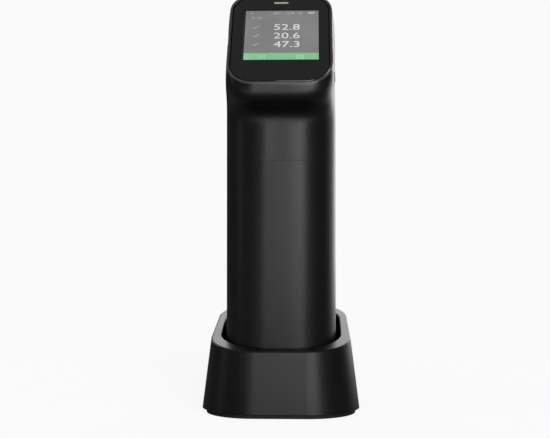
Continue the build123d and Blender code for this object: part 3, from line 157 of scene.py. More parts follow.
class ShaderGraph:
    """The node tree of one material or world, with short ways to add to it."""

    def __init__(self, owner: Union[bpy.types.Material, bpy.types.World]) -> None:
        """Empty the owner's node tree and keep it.

        Args:
            owner: Material or world whose nodes are built.
        """
        owner.use_nodes = True
        self.tree = owner.node_tree
        self.tree.nodes.clear()

    def node(
        self,
        kind: str,
        settings: Dict[str, object],
        inputs: Dict[Union[str, int], Input],
    ) -> bpy.types.Node:
        """Add a node.

        Args:
            kind: The node's type name.
            settings: Properties, set before the sockets.
            inputs: Value or Signal for each socket, by name or number.

        Returns:
            The node.
        """
        made = self.tree.nodes.new(kind)
        for key, value in settings.items():
            setattr(made, key, value)
        for key, value in inputs.items():
            if isinstance(value, Signal):
                self.tree.links.new(value.socket, made.inputs[key])
            else:
                made.inputs[key].default_value = value
        return made

    def add(
        self,
        kind: str,
        settings: Dict[str, object],
        inputs: Dict[Union[str, int], Input],
        output: Union[str, int] = 0,
    ) -> Signal:
        """Add a node and return one of its outputs.

        Args:
            kind: The node's type name.
            settings: Properties, set before the sockets.
            inputs: Value or Signal for each socket.
            output: Name or number of the output wanted.

        Returns:
            That output.
        """
        return Signal(self, self.node(kind, settings, inputs).outputs[output])

    def place(self) -> Signal:
        """Return the position on the piece, in metres."""
        return self.add("ShaderNodeTexCoord", {}, {}, "Object")

    def axes(self) -> Tuple[Signal, Signal, Signal]:
        """Return the position's X, Y and Z as separate values."""
        made = self.node("ShaderNodeSeparateXYZ", {}, {0: self.place()})
        return tuple(Signal(self, made.outputs[name]) for name in "XYZ")

    def noise(self, pattern: Pattern) -> Signal:
        """Add a noise pattern.

        Args:
            pattern: Its size, detail and stretch.

        Returns:
            Its value, around 0.5.
        """
        scale = tuple(1.0 / (pattern.size * longer) for longer in pattern.stretch)
        scaled = self.add("ShaderNodeMapping", {}, {"Vector": self.place(), "Scale": scale})
        sockets = {"Vector": scaled, "Scale": 1.0, "Detail": pattern.detail}
        return self.add("ShaderNodeTexNoise", {}, sockets)

    def tint(self, dark: Input, light: Input, share: Signal) -> Signal:
        """Blend two colours.

        Args:
            dark: Colour at share 0.
            light: Colour at share 1.
            share: Blend factor.

        Returns:
            The colour.
        """
        factor, first, second, result = 0, 6, 7, 2
        sockets = {factor: share, first: opaque(dark), second: opaque(light)}
        return self.add("ShaderNodeMix", {"data_type": "RGBA"}, sockets, result)

    def relief(self, height: Signal, depth: float) -> Signal:
        """Turn a height pattern into a normal.

        Args:
            height: Pattern, 0 to 1.
            depth: Height of the relief in metres.

        Returns:
            The normal.
        """
        sockets = {"Height": height, "Strength": 1.0, "Distance": depth}
        return self.add("ShaderNodeBump", {}, sockets, "Normal")

    def glow(self, strength: Input) -> Signal:
        """Return a white shader that glows with the given strength."""
        return self.add("ShaderNodeEmission", {}, {"Color": opaque(WHITE), "Strength": strength})

    def matt(self, grey: float) -> Signal:
        """Return a rough shader of the given grey."""
        sockets = {"Color": opaque((grey, grey, grey)), "Roughness": 1.0}
        return self.add("ShaderNodeBsdfDiffuse", {}, sockets)

    def added(self, first: Signal, second: Signal) -> Signal:
        """Return two shaders added together."""
        return self.add("ShaderNodeAddShader", {}, {0: first, 1: second})

    def mix(self, share: Signal, first: Signal, second: Signal) -> Signal:
        """Return a blend of two shaders, the second one at share 1."""
        return self.add("ShaderNodeMixShader", {}, {0: share, 1: first, 2: second})

    def rays(self, *kinds: str) -> Tuple[Signal, ...]:
        """Return, for each kind of ray, whether the ray at hand is one."""
        path = self.node("ShaderNodeLightPath", {}, {})
        return tuple(Signal(self, path.outputs[f"Is {kind} Ray"]) for kind in kinds)

    def surface(self, **sockets: Input) -> None:
        """Finish a material with one Principled shader.

        Args:
            **sockets: Its sockets, underscores for spaces; colours as three numbers.
        """
        inputs = {
            key.replace("_", " "): opaque(value) if isinstance(value, tuple) else value
            for key, value in sockets.items()
        }
        shader = self.add("ShaderNodeBsdfPrincipled", {}, inputs)
        self.node("ShaderNodeOutputMaterial", {}, {"Surface": shader})


# ---------------------------------------------------------------- panel
@dataclass(frozen=True)
class Panel:
    """The slanted plane of the screen: its middle, and the axes along and out of it."""

    middle: Point = (0.0, -26.34 * MM, 182.65 * MM)
    tilt: float = math.radians(50.6)

    def matrix(self, x: float, along: float, depth: float) -> Matrix:
        """Return the transform from a flat drawing to a place on the panel.

        Args:
            x: To the right of the middle, in metres.
            along: Up the panel from the middle, in metres.
            depth: Below the border of the glass, in metres.

        Returns:
            Matrix that puts the drawing's origin there, its Y up the panel.
        """
        lean = Matrix.Rotation(self.tilt, 4, "X")
        return Matrix.Translation(self.middle) @ lean @ Matrix.Translation((x, along, -depth))

    def depth(self, graph: ShaderGraph) -> Signal:
        """Return how far a point lies above the panel's border, in metres.

        Args:
            graph: Graph to add to.

        Returns:
            The distance, negative below the border.
        """
        _, y, z = graph.axes()
        _, middle_y, middle_z = self.middle
        return (z - middle_z) * math.cos(self.tilt) - (y - middle_y) * math.sin(self.tilt)

    def along(self, graph: ShaderGraph) -> Signal:
        """Return how far a point lies up the panel from its middle, in metres.

        Args:
            graph: Graph to add to.

        Returns:
            The distance.
        """
        _, y, z = graph.axes()
        _, middle_y, middle_z = self.middle
        return (z - middle_z) * math.sin(self.tilt) + (y - middle_y) * math.cos(self.tilt)


PANEL = Panel()


# ---------------------------------------------------------------- finishes
class Grain(Enum):
    """Textures of a mould: size of the grain and height of its relief, in metres."""

    SPARKED = (0.32 * MM, 0.006 * MM)
    SATIN = (0.22 * MM, 0.0025 * MM)
    SMOOTH = (0.9 * MM, 0.0012 * MM)


def shaded(colour: Colour, factor: float, lift: float = 0.0) -> Colour:
    """Return a colour times a factor plus a lift, at most 1."""
    return tuple(min(1.0, share * factor + lift) for share in colour)


@dataclass(frozen=True)
class Finish(ABC):
    """The look of a surface. Each kind of surface writes its own shader."""

    name: str
    colour: Colour

    @abstractmethod
    def shade(self, graph: ShaderGraph) -> None:
        """Write the shader.

        Args:
            graph: The empty graph of the material.
        """

    def material(self) -> bpy.types.Material:
        """Make a material with this finish.

        Returns:
            The new material.
        """
        made = bpy.data.materials.new(self.name)
        self.shade(ShaderGraph(made))
        return made


@dataclass(frozen=True)
class MouldedPlastic(Finish):
    """Injection-moulded plastic with a grained mould and slight unevenness of gloss.

    Near the panel's border it can be polished, and its colour there can be lighter as a painted
    highlight for the bright edge round the glass. The two border ranges are heights above the
    panel at which these start and are complete.
    """

    roughness: float
    grain: Grain = Grain.SATIN
    border_gloss: float = 0.0
    # Painted highlight near the border: how much lighter the colour turns there, and between which
    # heights.
    painted_highlight_factor: float = 1.0
    border_polish: Pair = (-1.2 * MM, -0.5 * MM)
    painted_highlight_heights: Pair = (-0.55 * MM, -0.2 * MM)
    clouds: Pattern = Pattern(14 * MM, 3.0)
    cloud_sway: float = 0.06
    cloud_edges: Pair = (0.35, 0.75)
    cloud_light: float = 1.25
    handling: Pattern = Pattern(4 * MM, 2.0, (1.0, 1.0, 3.0))
    handling_sway: float = 0.03
    refraction: float = 1.48

    def shade(self, graph: ShaderGraph) -> None:
        """Write grain, clouds and traces of handling, and the polished border with its painted
        highlight where there is one.

        Args:
            graph: The empty graph of the material.
        """
        size, height = self.grain.value
        relief = graph.noise(Pattern(size))
        cloudy = graph.noise(self.clouds)
        handled = graph.noise(self.handling)
        rough = self.roughness + cloudy.sway(self.cloud_sway) + handled.sway(self.handling_sway)
        light = shaded(self.colour, self.cloud_light)
        colour = graph.tint(self.colour, light, cloudy.rise(*self.cloud_edges))
        if self.border_gloss:
            depth = PANEL.depth(graph)
            border = depth.rise(*self.border_polish)
            rough = rough - border * (self.roughness - self.border_gloss)
            relief = relief * (1.0 - border)
            # Painted highlight: near the border the colour turns lighter, standing for the bright edge
            # round the glass.
            pale = shaded(self.colour, self.painted_highlight_factor)
            colour = graph.tint(colour, pale, depth.rise(*self.painted_highlight_heights))
        graph.surface(
            Base_Color=colour,
            Roughness=rough,
            Normal=graph.relief(relief, height),
            IOR=self.refraction,
        )


@dataclass(frozen=True)
class Rubber(Finish):
    """Moulded rubber or foam: matt, with a faint bloom."""

    roughness: float = 0.72
    cell: float = 0.5 * MM
    cell_detail: float = 3.0
    cell_depth: float = 0.03 * MM
    bloom: Pattern = Pattern(9 * MM, 4.0)
    bloom_sway: float = 0.12
    bloom_edges: Pair = (0.4, 0.8)
    bloom_light: float = 1.5
    bloom_lift: float = 0.004

    def shade(self, graph: ShaderGraph) -> None:
        """Write the cells and the bloom.

        Args:
            graph: The empty graph of the material.
        """
        cells = graph.noise(Pattern(self.cell, self.cell_detail))
        bloom = graph.noise(self.bloom)
        light = shaded(self.colour, self.bloom_light, self.bloom_lift)
        graph.surface(
            Base_Color=graph.tint(self.colour, light, bloom.rise(*self.bloom_edges)),
            Roughness=self.roughness + bloom.sway(self.bloom_sway),
            Normal=graph.relief(cells, self.cell_depth),
        )


@dataclass(frozen=True)
class CoverGlass(Finish):
    """Cover glass of the display, blacked from behind round a clear window.

    The window reaches from low to high up the panel. Its upper limit leans with depth, so that
    the black doesn't stand before the picture's upper edge in a level view.
    """

    half_width: float
    low: float
    high: float
    lean: float = 1.1
    soft: float = 0.06 * MM
    clearness: float = 0.9
    roughness: float = 0.035
    smears: Pattern = Pattern(11 * MM, 4.0, (1.0, 2.0, 2.0))
    smear_edges: Pair = (0.45, 0.8)
    smear_share: float = 0.05
    smear_light: float = 1.4
    refraction: float = 1.5

    def beyond(self, place: Signal, limit: float) -> Signal:
        """Return 0 below a limit and 1 above it, with a soft edge."""
        return place.rise(limit - self.soft, limit + self.soft)

    def shade(self, graph: ShaderGraph) -> None:
        """Write the black border, the clear window and faint smears.

        Args:
            graph: The empty graph of the material.
        """
        x, _, _ = graph.axes()
        along = PANEL.along(graph)
        slanted = along + PANEL.depth(graph) * self.lean
        across = 1.0 - self.beyond(abs(x), self.half_width)
        clear = across * self.beyond(along, self.low) * (1.0 - self.beyond(slanted, self.high))
        smear = graph.noise(self.smears)
        graph.surface(
            Base_Color=graph.tint(self.colour, shaded(self.colour, self.smear_light), smear),
            Roughness=self.roughness + smear.rise(*self.smear_edges) * self.smear_share,
            Alpha=1.0 - clear * self.clearness,
            IOR=self.refraction,
        )


@dataclass(frozen=True)
class LitPixels(Finish):
    """A part of the display's picture that glows with one colour."""

    unevenness: float = 0.06
    patches: Pattern = Pattern(16 * MM)
    patch_edges: Pair = (0.3, 0.7)
    ground: Colour = (0.01, 0.01, 0.01)
    roughness: float = 0.5

    def shade(self, graph: ShaderGraph) -> None:
        """Write a slightly uneven glow.

        Args:
            graph: The empty graph of the material.
        """
        uneven = graph.noise(self.patches)
        dim = shaded(self.colour, 1.0 - self.unevenness)
        bright = shaded(self.colour, 1.0 + self.unevenness)
        graph.surface(
            Base_Color=self.ground,
            Roughness=self.roughness,
            Emission_Color=graph.tint(dim, bright, uneven.rise(*self.patch_edges)),
            Emission_Strength=1.0,
        )


@dataclass(frozen=True)
class BareMetal(Finish):
    """Sheet, turned or cast metal, with a faint lay along one direction."""

    roughness: float
    lay: Point = (1.0, 1.0, 12.0)
    line_size: float = 0.15 * MM
    line_detail: float = 3.0
    line_depth: float = 0.002 * MM
    line_sway: float = 0.12
    tarnish: Pattern = Pattern(6 * MM, 3.0)
    tarnish_edges: Pair = (0.25, 0.7)
    tarnish_sway: float = 0.08
    tarnish_dark: float = 0.82

    def shade(self, graph: ShaderGraph) -> None:
        """Write the lines of the lay and duller patches.

        Args:
            graph: The empty graph of the material.
        """
        lines = graph.noise(Pattern(self.line_size, self.line_detail, self.lay))
        dull = graph.noise(self.tarnish)
        dark = shaded(self.colour, self.tarnish_dark)
        graph.surface(
            Base_Color=graph.tint(dark, self.colour, dull.rise(*self.tarnish_edges)),
            Metallic=1.0,
            Roughness=self.roughness + lines.sway(self.line_sway) + dull.sway(self.tarnish_sway),
            Normal=graph.relief(lines, self.line_depth),
        )


@dataclass(frozen=True)
class HardCoat(Finish):
    """Glazed, painted or lacquered surface with faint orange peel."""

    roughness: float
    gloss: float = 0.0
    peel: float = 0.004 * MM
    waves: Pattern = Pattern(1.6 * MM)
    clouds: Pattern = Pattern(7 * MM, 3.0)
    cloud_edges: Pair = (0.3, 0.7)
    cloud_sway: float = 0.05
    cloud_dark: float = 0.93
    coat_roughness: float = 0.06

    def shade(self, graph: ShaderGraph) -> None:
        """Write the peel and slightly darker clouds under a coat.

        Args:
            graph: The empty graph of the material.
        """
        waves = graph.noise(self.waves)
        cloud = graph.noise(self.clouds)
        dark = shaded(self.colour, self.cloud_dark)
        graph.surface(
            Base_Color=graph.tint(dark, self.colour, cloud.rise(*self.cloud_edges)),
            Roughness=self.roughness + cloud.sway(self.cloud_sway),
            Coat_Weight=self.gloss,
            Coat_Roughness=self.coat_roughness,
            Normal=graph.relief(waves, self.peel),
        )


@dataclass(frozen=True)
class CircuitBoard(Finish):
    """Solder mask over copper tracks, laid out in cells."""

    track: Colour
    cells_per_metre: float = 420.0
    cell_gap: float = 0.06
    patches: Pattern = Pattern(2.4 * MM, 1.0)
    patch_edges: Pair = (0.47, 0.52)
    roughness: float = 0.36
    track_gloss: float = 0.08
    track_height: float = 0.02 * MM
    lacquer: float = 0.4

    def shade(self, graph: ShaderGraph) -> None:
        """Write the tracks: patches of copper cut up by the gaps between cells.

        Args:
            graph: The empty graph of the material.
        """
        scale = (self.cells_per_metre,) * 3
        scaled = graph.add("ShaderNodeMapping", {}, {"Vector": graph.place(), "Scale": scale})
        sockets = {"Vector": scaled, "Mortar Size": self.cell_gap, "Scale": 1.0}
        cells = graph.add("ShaderNodeTexBrick", {}, sockets, "Fac")
        copper = graph.noise(self.patches).rise(*self.patch_edges) * cells
        graph.surface(
            Base_Color=graph.tint(self.colour, self.track, copper),
            Roughness=self.roughness - copper * self.track_gloss,
            Coat_Weight=self.lacquer,
            Normal=graph.relief(copper, self.track_height),
        )


@dataclass(frozen=True)
class ClearResin(Finish):
    """Clear or tinted resin, glass or a light guide, lit or not."""

    opacity: float
    glow: float = 0.0
    haze: Pattern = Pattern(1.2 * MM)
    haze_light: float = 1.12
    haze_sway: float = 0.05
    roughness: float = 0.08

    def shade(self, graph: ShaderGraph) -> None:
        """Write a faint haze, and the glow where there is one.

        Args:
            graph: The empty graph of the material.
        """
        haze = graph.noise(self.haze)
        light = shaded(self.colour, self.haze_light)
        graph.surface(
            Base_Color=graph.tint(self.colour, light, haze),
            Roughness=self.roughness + haze * self.haze_sway,
            Alpha=self.opacity + haze.sway(self.haze_sway),
            Emission_Color=graph.tint(self.colour, light, haze),
            Emission_Strength=self.glow,
        )


# The case plastic's figure 10.0 lightens its colour near the panel's border as a painted highlight.
CASE_PLASTIC = MouldedPlastic("case_plastic", (0.0075, 0.0075, 0.0080), 0.37, Grain.SATIN, 0.24, 10.0)
CRADLE_PLASTIC = MouldedPlastic("cradle_plastic", (0.0080, 0.0080, 0.0085), 0.37, Grain.SPARKED)
NOSE_PLASTIC = MouldedPlastic("nose_plastic", (0.0065, 0.0065, 0.0070), 0.50, Grain.SPARKED)
KEY_PLASTIC = MouldedPlastic("key_plastic", (0.0120, 0.0120, 0.0130), 0.46, Grain.SMOOTH)
CHIP_PLASTIC = MouldedPlastic("chip_plastic", (0.0300, 0.0300, 0.0330), 0.55, Grain.SPARKED)
STRAP_PLASTIC = MouldedPlastic("strap_plastic", (0.0600, 0.0600, 0.0620), 0.50, Grain.SATIN)
FLAP_RUBBER = Rubber("flap_rubber", (0.0090, 0.0090, 0.0095), 0.62)
PAD_RUBBER = Rubber("pad_rubber", (0.0280, 0.0280, 0.0290))
SEAT_FOAM = Rubber("seat_foam", (0.0180, 0.0180, 0.0180), 0.85, 0.25 * MM)
COVER_GLASS = CoverGlass("cover_glass", (0.0060, 0.0060, 0.0065), 18.9 * MM, -16.1 * MM, 20.2 * MM)
TILE_GLAZE = HardCoat("tile_glaze", (0.90, 0.90, 0.885), 0.16, 0.6)
SPHERE_COAT = HardCoat("sphere_coat", (0.91, 0.91, 0.90), 0.85, 0.0, 0.02 * MM)
CELL_SLEEVE = HardCoat("cell_sleeve", (0.03, 0.11, 0.33), 0.28, 0.5, 0.01 * MM)
SENSOR_BODY = HardCoat("sensor_body", (0.11, 0.10, 0.105), 0.30)
DISPLAY_PANEL = HardCoat("display_panel", (0.050, 0.053, 0.056), 0.22)
FRAME_STEEL = BareMetal("frame_steel", (0.62, 0.62, 0.63), 0.32)
SOCKET_STEEL = BareMetal("socket_steel", (0.68, 0.68, 0.69), 0.24)
SCREW_STEEL = BareMetal("screw_steel", (0.13, 0.13, 0.135), 0.36, (1.0, 1.0, 1.0))
CHASSIS_ALLOY = BareMetal("chassis_alloy", (0.72, 0.72, 0.74), 0.34)
BLACK_ALLOY = BareMetal("black_alloy", (0.055, 0.055, 0.060), 0.42)
GRATING_FACE = BareMetal("grating_face", (0.86, 0.86, 0.90), 0.06, (40.0, 1.0, 1.0))
BOARD_MASK = CircuitBoard("board_mask", (0.012, 0.085, 0.040), (0.030, 0.160, 0.080))
LIGHT_GUIDE = ClearResin("light_guide", (0.40, 0.40, 0.28), 1.0, 0.27)
LAMP_RESIN = ClearResin("lamp_resin", (0.85, 0.82, 0.66), 0.85)
LENS_GLASS = ClearResin("lens_glass", (0.80, 0.88, 0.92), 0.35)
SCREEN_EDGE = LitPixels("screen_edge", (0.0190, 0.0190, 0.0200))
SCREEN_GREY = LitPixels("screen_grey", (0.257, 0.259, 0.257))
SCREEN_GREEN = LitPixels("screen_green", (0.280, 0.680, 0.345), 0.08)
SCREEN_WHITE = LitPixels("screen_white", (0.86, 0.87, 0.86))
SCREEN_PALE = LitPixels("screen_pale", (0.56, 0.58, 0.56))
SCREEN_MINT = LitPixels("screen_mint", (0.52, 0.84, 0.58))


# ---------------------------------------------------------------- mesh helpers
def finish_mesh(mesh: bmesh.types.BMesh, name: str, material: bpy.types.Material) -> bpy.types.Object:
    """Turn a bmesh into an object at the origin.

    Args:
        mesh: The finished shape; it is freed.
        name: Name of the piece.
        material: Its material.

    Returns:
        The object, linked to the scene.
    """
    data = bpy.data.meshes.new(name)
    mesh.to_mesh(data)
    mesh.free()
    data.materials.append(material)
    made = bpy.data.objects.new(name, data)
    bpy.context.scene.collection.objects.link(made)
    return made


def add_bar(mesh: bmesh.types.BMesh, middle: Pair, size: Pair, height: float) -> None:
    """Add a thin upright bar to a flat drawing.

    Args:
        mesh: Drawing to add to.
        middle: Its middle.
        size: Its width and length.
        height: Its thickness.
    """
    made = bmesh.ops.create_cube(mesh, size=1.0)
    bmesh.ops.scale(mesh, vec=(size[0], size[1], height), verts=made["verts"])
    bmesh.ops.translate(mesh, vec=(middle[0], middle[1], height / 2), verts=made["verts"])


def add_stroke(mesh: bmesh.types.BMesh, start: Pair, end: Pair, width: float, height: float) -> None:
    """Add a straight stroke between two points of a flat drawing.

    Args:
        mesh: Drawing to add to.
        start: First point.
        end: Last point.
        width: Width of the stroke.
        height: Its thickness.
    """
    run = Vector((end[0] - start[0], end[1] - start[1], 0.0))
    made = bmesh.ops.create_cube(mesh, size=1.0)
    bmesh.ops.scale(mesh, vec=(run.length + width, width, height), verts=made["verts"])
    turn = Matrix.Rotation(math.atan2(run.y, run.x), 4, "Z")
    middle = Vector(((start[0] + end[0]) / 2, (start[1] + end[1]) / 2, height / 2))
    bmesh.ops.transform(mesh, matrix=Matrix.Translation(middle) @ turn, verts=made["verts"])


@dataclass(frozen=True)
class Writing:
    """A line of numbers in the plain built-in typeface.

    Its height is that of the figures, and stretch says how much wider than in the typeface they are.
    """

    text: str
    middle: Pair
    size: float
    stretch: float = 1.0
    figure_share: float = 0.7
    roundness: int = 4

    def add_to(self, mesh: bmesh.types.BMesh, height: float) -> None:
        """Add the numbers to a flat drawing.

        Args:
            mesh: Drawing to add to.
            height: Thickness of the numbers.
        """
        curve = bpy.data.curves.new("figures", "FONT")
        curve.body = self.text
        curve.size = self.size / self.figure_share
        curve.extrude = height / 2
        curve.resolution_u = self.roundness
        holder = bpy.data.objects.new("figures", curve)
        bpy.context.scene.collection.objects.link(holder)
        bpy.context.view_layer.update()
        data = bpy.data.meshes.new_from_object(holder)
        data.transform(Matrix.Diagonal((self.stretch, 1.0, 1.0, 1.0)))
        xs = [vertex.co.x for vertex in data.vertices]
        ys = [vertex.co.y for vertex in data.vertices]
        x, y = self.middle
        shift = (x - (min(xs) + max(xs)) / 2, y - (min(ys) + max(ys)) / 2, height / 2)
        data.transform(Matrix.Translation(shift))
        mesh.from_mesh(data)
        bpy.data.objects.remove(holder)
        bpy.data.curves.remove(curve)
        bpy.data.meshes.remove(data)


@dataclass(frozen=True)
class Bar:
    """An upright bar of a flat drawing: its middle, and its width and length."""

    middle: Pair
    size: Pair


def dress(nodes: Sequence[str], finish: Finish) -> None:
    """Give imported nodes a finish.

    Args:
        nodes: Names of the nodes.
        finish: Their finish.
    """
    material = finish.material()
    for name in nodes:
        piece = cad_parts[name]
        for slot in piece.material_slots:
            slot.material = material
        LOG.info("%s: %s", name, finish.name)


# ---------------------------------------------------------------- sub-assemblies
Wardrobe = Tuple[Tuple[Finish, Tuple[str, ...]], ...]


@dataclass
class SubAssembly:
    """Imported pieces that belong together, as finishes with the nodes that wear them."""

    finishes: Wardrobe = ()

    def build(self) -> None:
        """Dress the pieces."""
        for finish, nodes in self.finishes:
            dress(nodes, finish)


@dataclass
class CalibrationCradle(SubAssembly):
    """The flared cradle with its white tile, seat and foot pad."""

    finishes: Wardrobe = (
        (CRADLE_PLASTIC, ("cradle_shell",)),
        (NOSE_PLASTIC, ("cradle_bottom_plate", "tile_holder")),
        (PAD_RUBBER, ("cradle_foot_pad",)),
        (TILE_GLAZE, ("white_tile",)),
        (SEAT_FOAM, ("tile_cushion", "seat_ring")),
        (SCREW_STEEL, ("cradle_screws",)),
    )


@dataclass
class InstrumentCase(SubAssembly):
    """The two shells with the nose, the keys and the socket's flap."""

    finishes: Wardrobe = (
        (CASE_PLASTIC, ("front_shell", "rear_shell")),
        (NOSE_PLASTIC, ("nose_plate", "port_ring")),
        (KEY_PLASTIC, ("measure_key",)),
        (FLAP_RUBBER, ("usb_flap", "power_key")),
        (SCREW_STEEL, ("case_screws", "nose_screws", "board_screws", "switch_board_screws")),
    )


@dataclass
class Insides(SubAssembly):
    """Everything inside the case: optics, boards and battery."""

    finishes: Wardrobe = (
        (SPHERE_COAT, ("sphere_lower", "sphere_upper")),
        (SCREW_STEEL, ("sphere_screws", "spectrometer_screws")),
        (BOARD_MASK, ("light_board", "main_board", "sensor_board", "switch_board")),
        (LAMP_RESIN, ("light_leds", "status_led")),
        (LENS_GLASS, ("view_lens",)),
        (BLACK_ALLOY, ("view_tube", "spectrometer_body", "spectrometer_cover")),
        (CHASSIS_ALLOY, ("chassis",)),
        (FRAME_STEEL, ("slit_plate",)),
        (GRATING_FACE, ("grating",)),
        (SENSOR_BODY, ("sensor_array",)),
        (CELL_SLEEVE, ("battery_pack",)),
        (STRAP_PLASTIC, ("battery_straps",)),
        (CHIP_PLASTIC, ("board_chips", "buzzer", "measure_switch", "power_switch")),
        (SOCKET_STEEL, ("usb_socket",)),
    )


@dataclass
class Display(SubAssembly):
    """The cover glass with the lit picture behind it.

    Places in the picture are to the right of and up the panel from the picture's origin.
    """

    finishes: Wardrobe = (
        (COVER_GLASS, ("display_window",)),
        (DISPLAY_PANEL, ("lcd_module",)),
        (FRAME_STEEL, ("lcd_frame",)),
        (SEAT_FOAM, ("window_gasket",)),
        (LIGHT_GUIDE, ("light_pipe",)),
    )
    body: str = "instrument"
    slot: str = "display_panel"
    middle_x: float = 0.5 * MM
    width: float = 36.1 * MM
    low: float = -14.7 * MM
    high: float = 22.0 * MM
    bar_top: float = -9.5 * MM
    edge: float = 1.2 * MM
    surface_depth: float = 2.27 * MM
    layer: float = 0.03 * MM
    values: Tuple[str, ...] = ("52.8", "20.6", "47.3")
    value_rows: Tuple[float, ...] = (9.6 * MM, 3.2 * MM, -3.1 * MM)
    value_x: float = 2.5 * MM
    value_height: float = 4.3 * MM
    value_stretch: float = 1.25
    tick_start: Pair = (-13.8 * MM, 0.0)
    tick_foot: Pair = (-12.9 * MM, -0.9 * MM)
    tick_end: Pair = (-11.0 * MM, 1.1 * MM)
    tick_line: float = 0.3 * MM
    status_row: float = 20.2 * MM
    status_writing: Tuple[Writing, ...] = (
        Writing("24/11  12:30", (0.9 * MM, status_row), 1.5 * MM),
        Writing("10 / 20", (-12.6 * MM, 16.6 * MM), 1.3 * MM),
    )
    status_bars: Tuple[Bar, ...] = (
        Bar((8.0 * MM, 19.7 * MM), (0.45 * MM, 0.7 * MM)),
        Bar((8.8 * MM, 19.9 * MM), (0.45 * MM, 1.1 * MM)),
        Bar((9.6 * MM, 20.1 * MM), (0.45 * MM, 1.5 * MM)),
        Bar((14.4 * MM, status_row), (3.0 * MM, 1.4 * MM)),
        Bar((16.1 * MM, status_row), (0.35 * MM, 0.7 * MM)),
        Bar((-15.2 * MM, status_row), (1.6 * MM, 0.35 * MM)),
    )
    key_row: float = -12.3 * MM
    sliders: int = 3
    slider_x: float = -10.4 * MM
    slider_pitch: float = 1.3 * MM
    slider_size: Pair = (0.3 * MM, 2.4 * MM)
    knob_size: Pair = (0.8 * MM, 0.5 * MM)
    knob_step: float = 0.6 * MM
    frame_x: float = 9.1 * MM
    frame_reach: Pair = (1.6 * MM, 1.05 * MM)
    frame_upright: Pair = (0.35 * MM, 2.4 * MM)
    frame_level: Pair = (3.4 * MM, 0.35 * MM)
    frame_dash: Pair = (1.6 * MM, 0.35 * MM)

    def piece(self, mesh: bmesh.types.BMesh, name: str, finish: LitPixels, layers_up: int) -> None:
        """Place one flat drawing on the panel.

        Args:
            mesh: The drawing.
            name: Name of the piece.
            finish: What it glows with.
            layers_up: How many layers lie under it.
        """
        made = finish_mesh(mesh, name, finish.material())
        depth = self.surface_depth - layers_up * self.layer
        made.data.transform(PANEL.matrix(self.middle_x, 0.0, depth))
        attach(made, self.body)
        LOG.info("%s made", name)

    def field(self, name: str, finish: LitPixels, span: Pair, edge: float, layers_up: int) -> None:
        """Make one plain field across the picture.

        Args:
            name: Name of the piece.
            finish: What it glows with.
            span: Its lower and upper end, up the panel.
            edge: How far it reaches past these ends and past the picture's sides.
            layers_up: How many layers lie under it.
        """
        low, high = span
        mesh = bmesh.new()
        size = (self.width + 2 * edge, high - low + 2 * edge)
        add_bar(mesh, (0.0, (low + high) / 2), size, self.layer)
        self.piece(mesh, name, finish, layers_up)

    def ground(self) -> None:
        """Make the unlit edge, the grey ground and the green bar at its foot."""
        self.field("screen_edge", SCREEN_EDGE, (self.low, self.high), self.edge, -1)
        self.field("screen_ground", SCREEN_GREY, (self.bar_top, self.high), 0.0, 0)
        self.field("screen_bar", SCREEN_GREEN, (self.low, self.bar_top), 0.0, 0)

    def readings(self) -> None:
        """Make the three rows of figures."""
        mesh = bmesh.new()
        for text, row in zip(self.values, self.value_rows):
            line = Writing(text, (self.value_x, row), self.value_height, self.value_stretch)
            line.add_to(mesh, self.layer)
        self.piece(mesh, "screen_values", SCREEN_WHITE, 1)

    def marks(self) -> None:
        """Make the ticks beside the rows and the status marks along the top."""
        mesh = bmesh.new()
        for row in self.value_rows:
            start, foot, end = (
                (x, row + rise) for x, rise in (self.tick_start, self.tick_foot, self.tick_end)
            )
            add_stroke(mesh, start, foot, self.tick_line, self.layer)
            add_stroke(mesh, foot, end, self.tick_line, self.layer)
        for line in self.status_writing:
            line.add_to(mesh, self.layer)
        for bar in self.status_bars:
            add_bar(mesh, bar.middle, bar.size, self.layer)
        self.piece(mesh, "screen_marks", SCREEN_PALE, 1)

    def icons(self) -> None:
        """Make the two soft-key signs on the green bar: three sliders and a framed dash."""
        mesh = bmesh.new()
        for step in range(self.sliders):
            x = self.slider_x + step * self.slider_pitch
            add_bar(mesh, (x, self.key_row), self.slider_size, self.layer)
            add_bar(mesh, (x, self.key_row + (step - 1) * self.knob_step), self.knob_size, self.layer)
        x, (reach_x, reach_y) = self.frame_x, self.frame_reach
        for side in (-1, 1):
            add_bar(mesh, (x + side * reach_x, self.key_row), self.frame_upright, self.layer)
            add_bar(mesh, (x, self.key_row + side * reach_y), self.frame_level, self.layer)
        add_bar(mesh, (x, self.key_row), self.frame_dash, self.layer)
        self.piece(mesh, "screen_icons", SCREEN_MINT, 1)

    def build(self) -> None:
        """Dress the glass, the module and the light, and make the picture."""
        super().build()
        self.ground()
        self.readings()
        self.marks()
        self.icons()


# ---------------------------------------------------------------- studio
# Strength at which room and floor glow to the camera.
SEEN_WHITE = 0.955
# Shares of +X and +Y in the direction of the lit corner behind on the right.
BACK_RIGHT = (0.64, 0.77)


@dataclass(frozen=True)
class Softbox:
    """A rectangular soft lamp aimed at the object, not seen by the camera.

    Azimuth 0 is towards -Y and 90 towards +X. Angles are in degrees, lengths in metres.
    """

    name: str
    azimuth: float
    elevation: float
    distance: float
    width: float
    height: float
    radiance: float

    def build(self, target: Point) -> None:
        """Make the lamp.

        Args:
            target: Point it is aimed at.
        """
        data = bpy.data.lights.new(self.name, "AREA")
        data.shape = "RECTANGLE"
        data.size = self.width
        data.size_y = self.height
        data.energy = self.radiance * math.pi * self.width * self.height
        turn, lift = math.radians(self.azimuth), math.radians(self.elevation)
        level = math.cos(lift)
        away = Vector((math.sin(turn) * level, -math.cos(turn) * level, math.sin(lift)))
        lamp = bpy.data.objects.new(self.name, data)
        lamp.location = Vector(target) + away * self.distance
        lamp.rotation_euler = away.to_track_quat("Z", "Y").to_euler()
        lamp.visible_camera = False
        bpy.context.scene.collection.objects.link(lamp)
        LOG.info("%s placed", self.name)


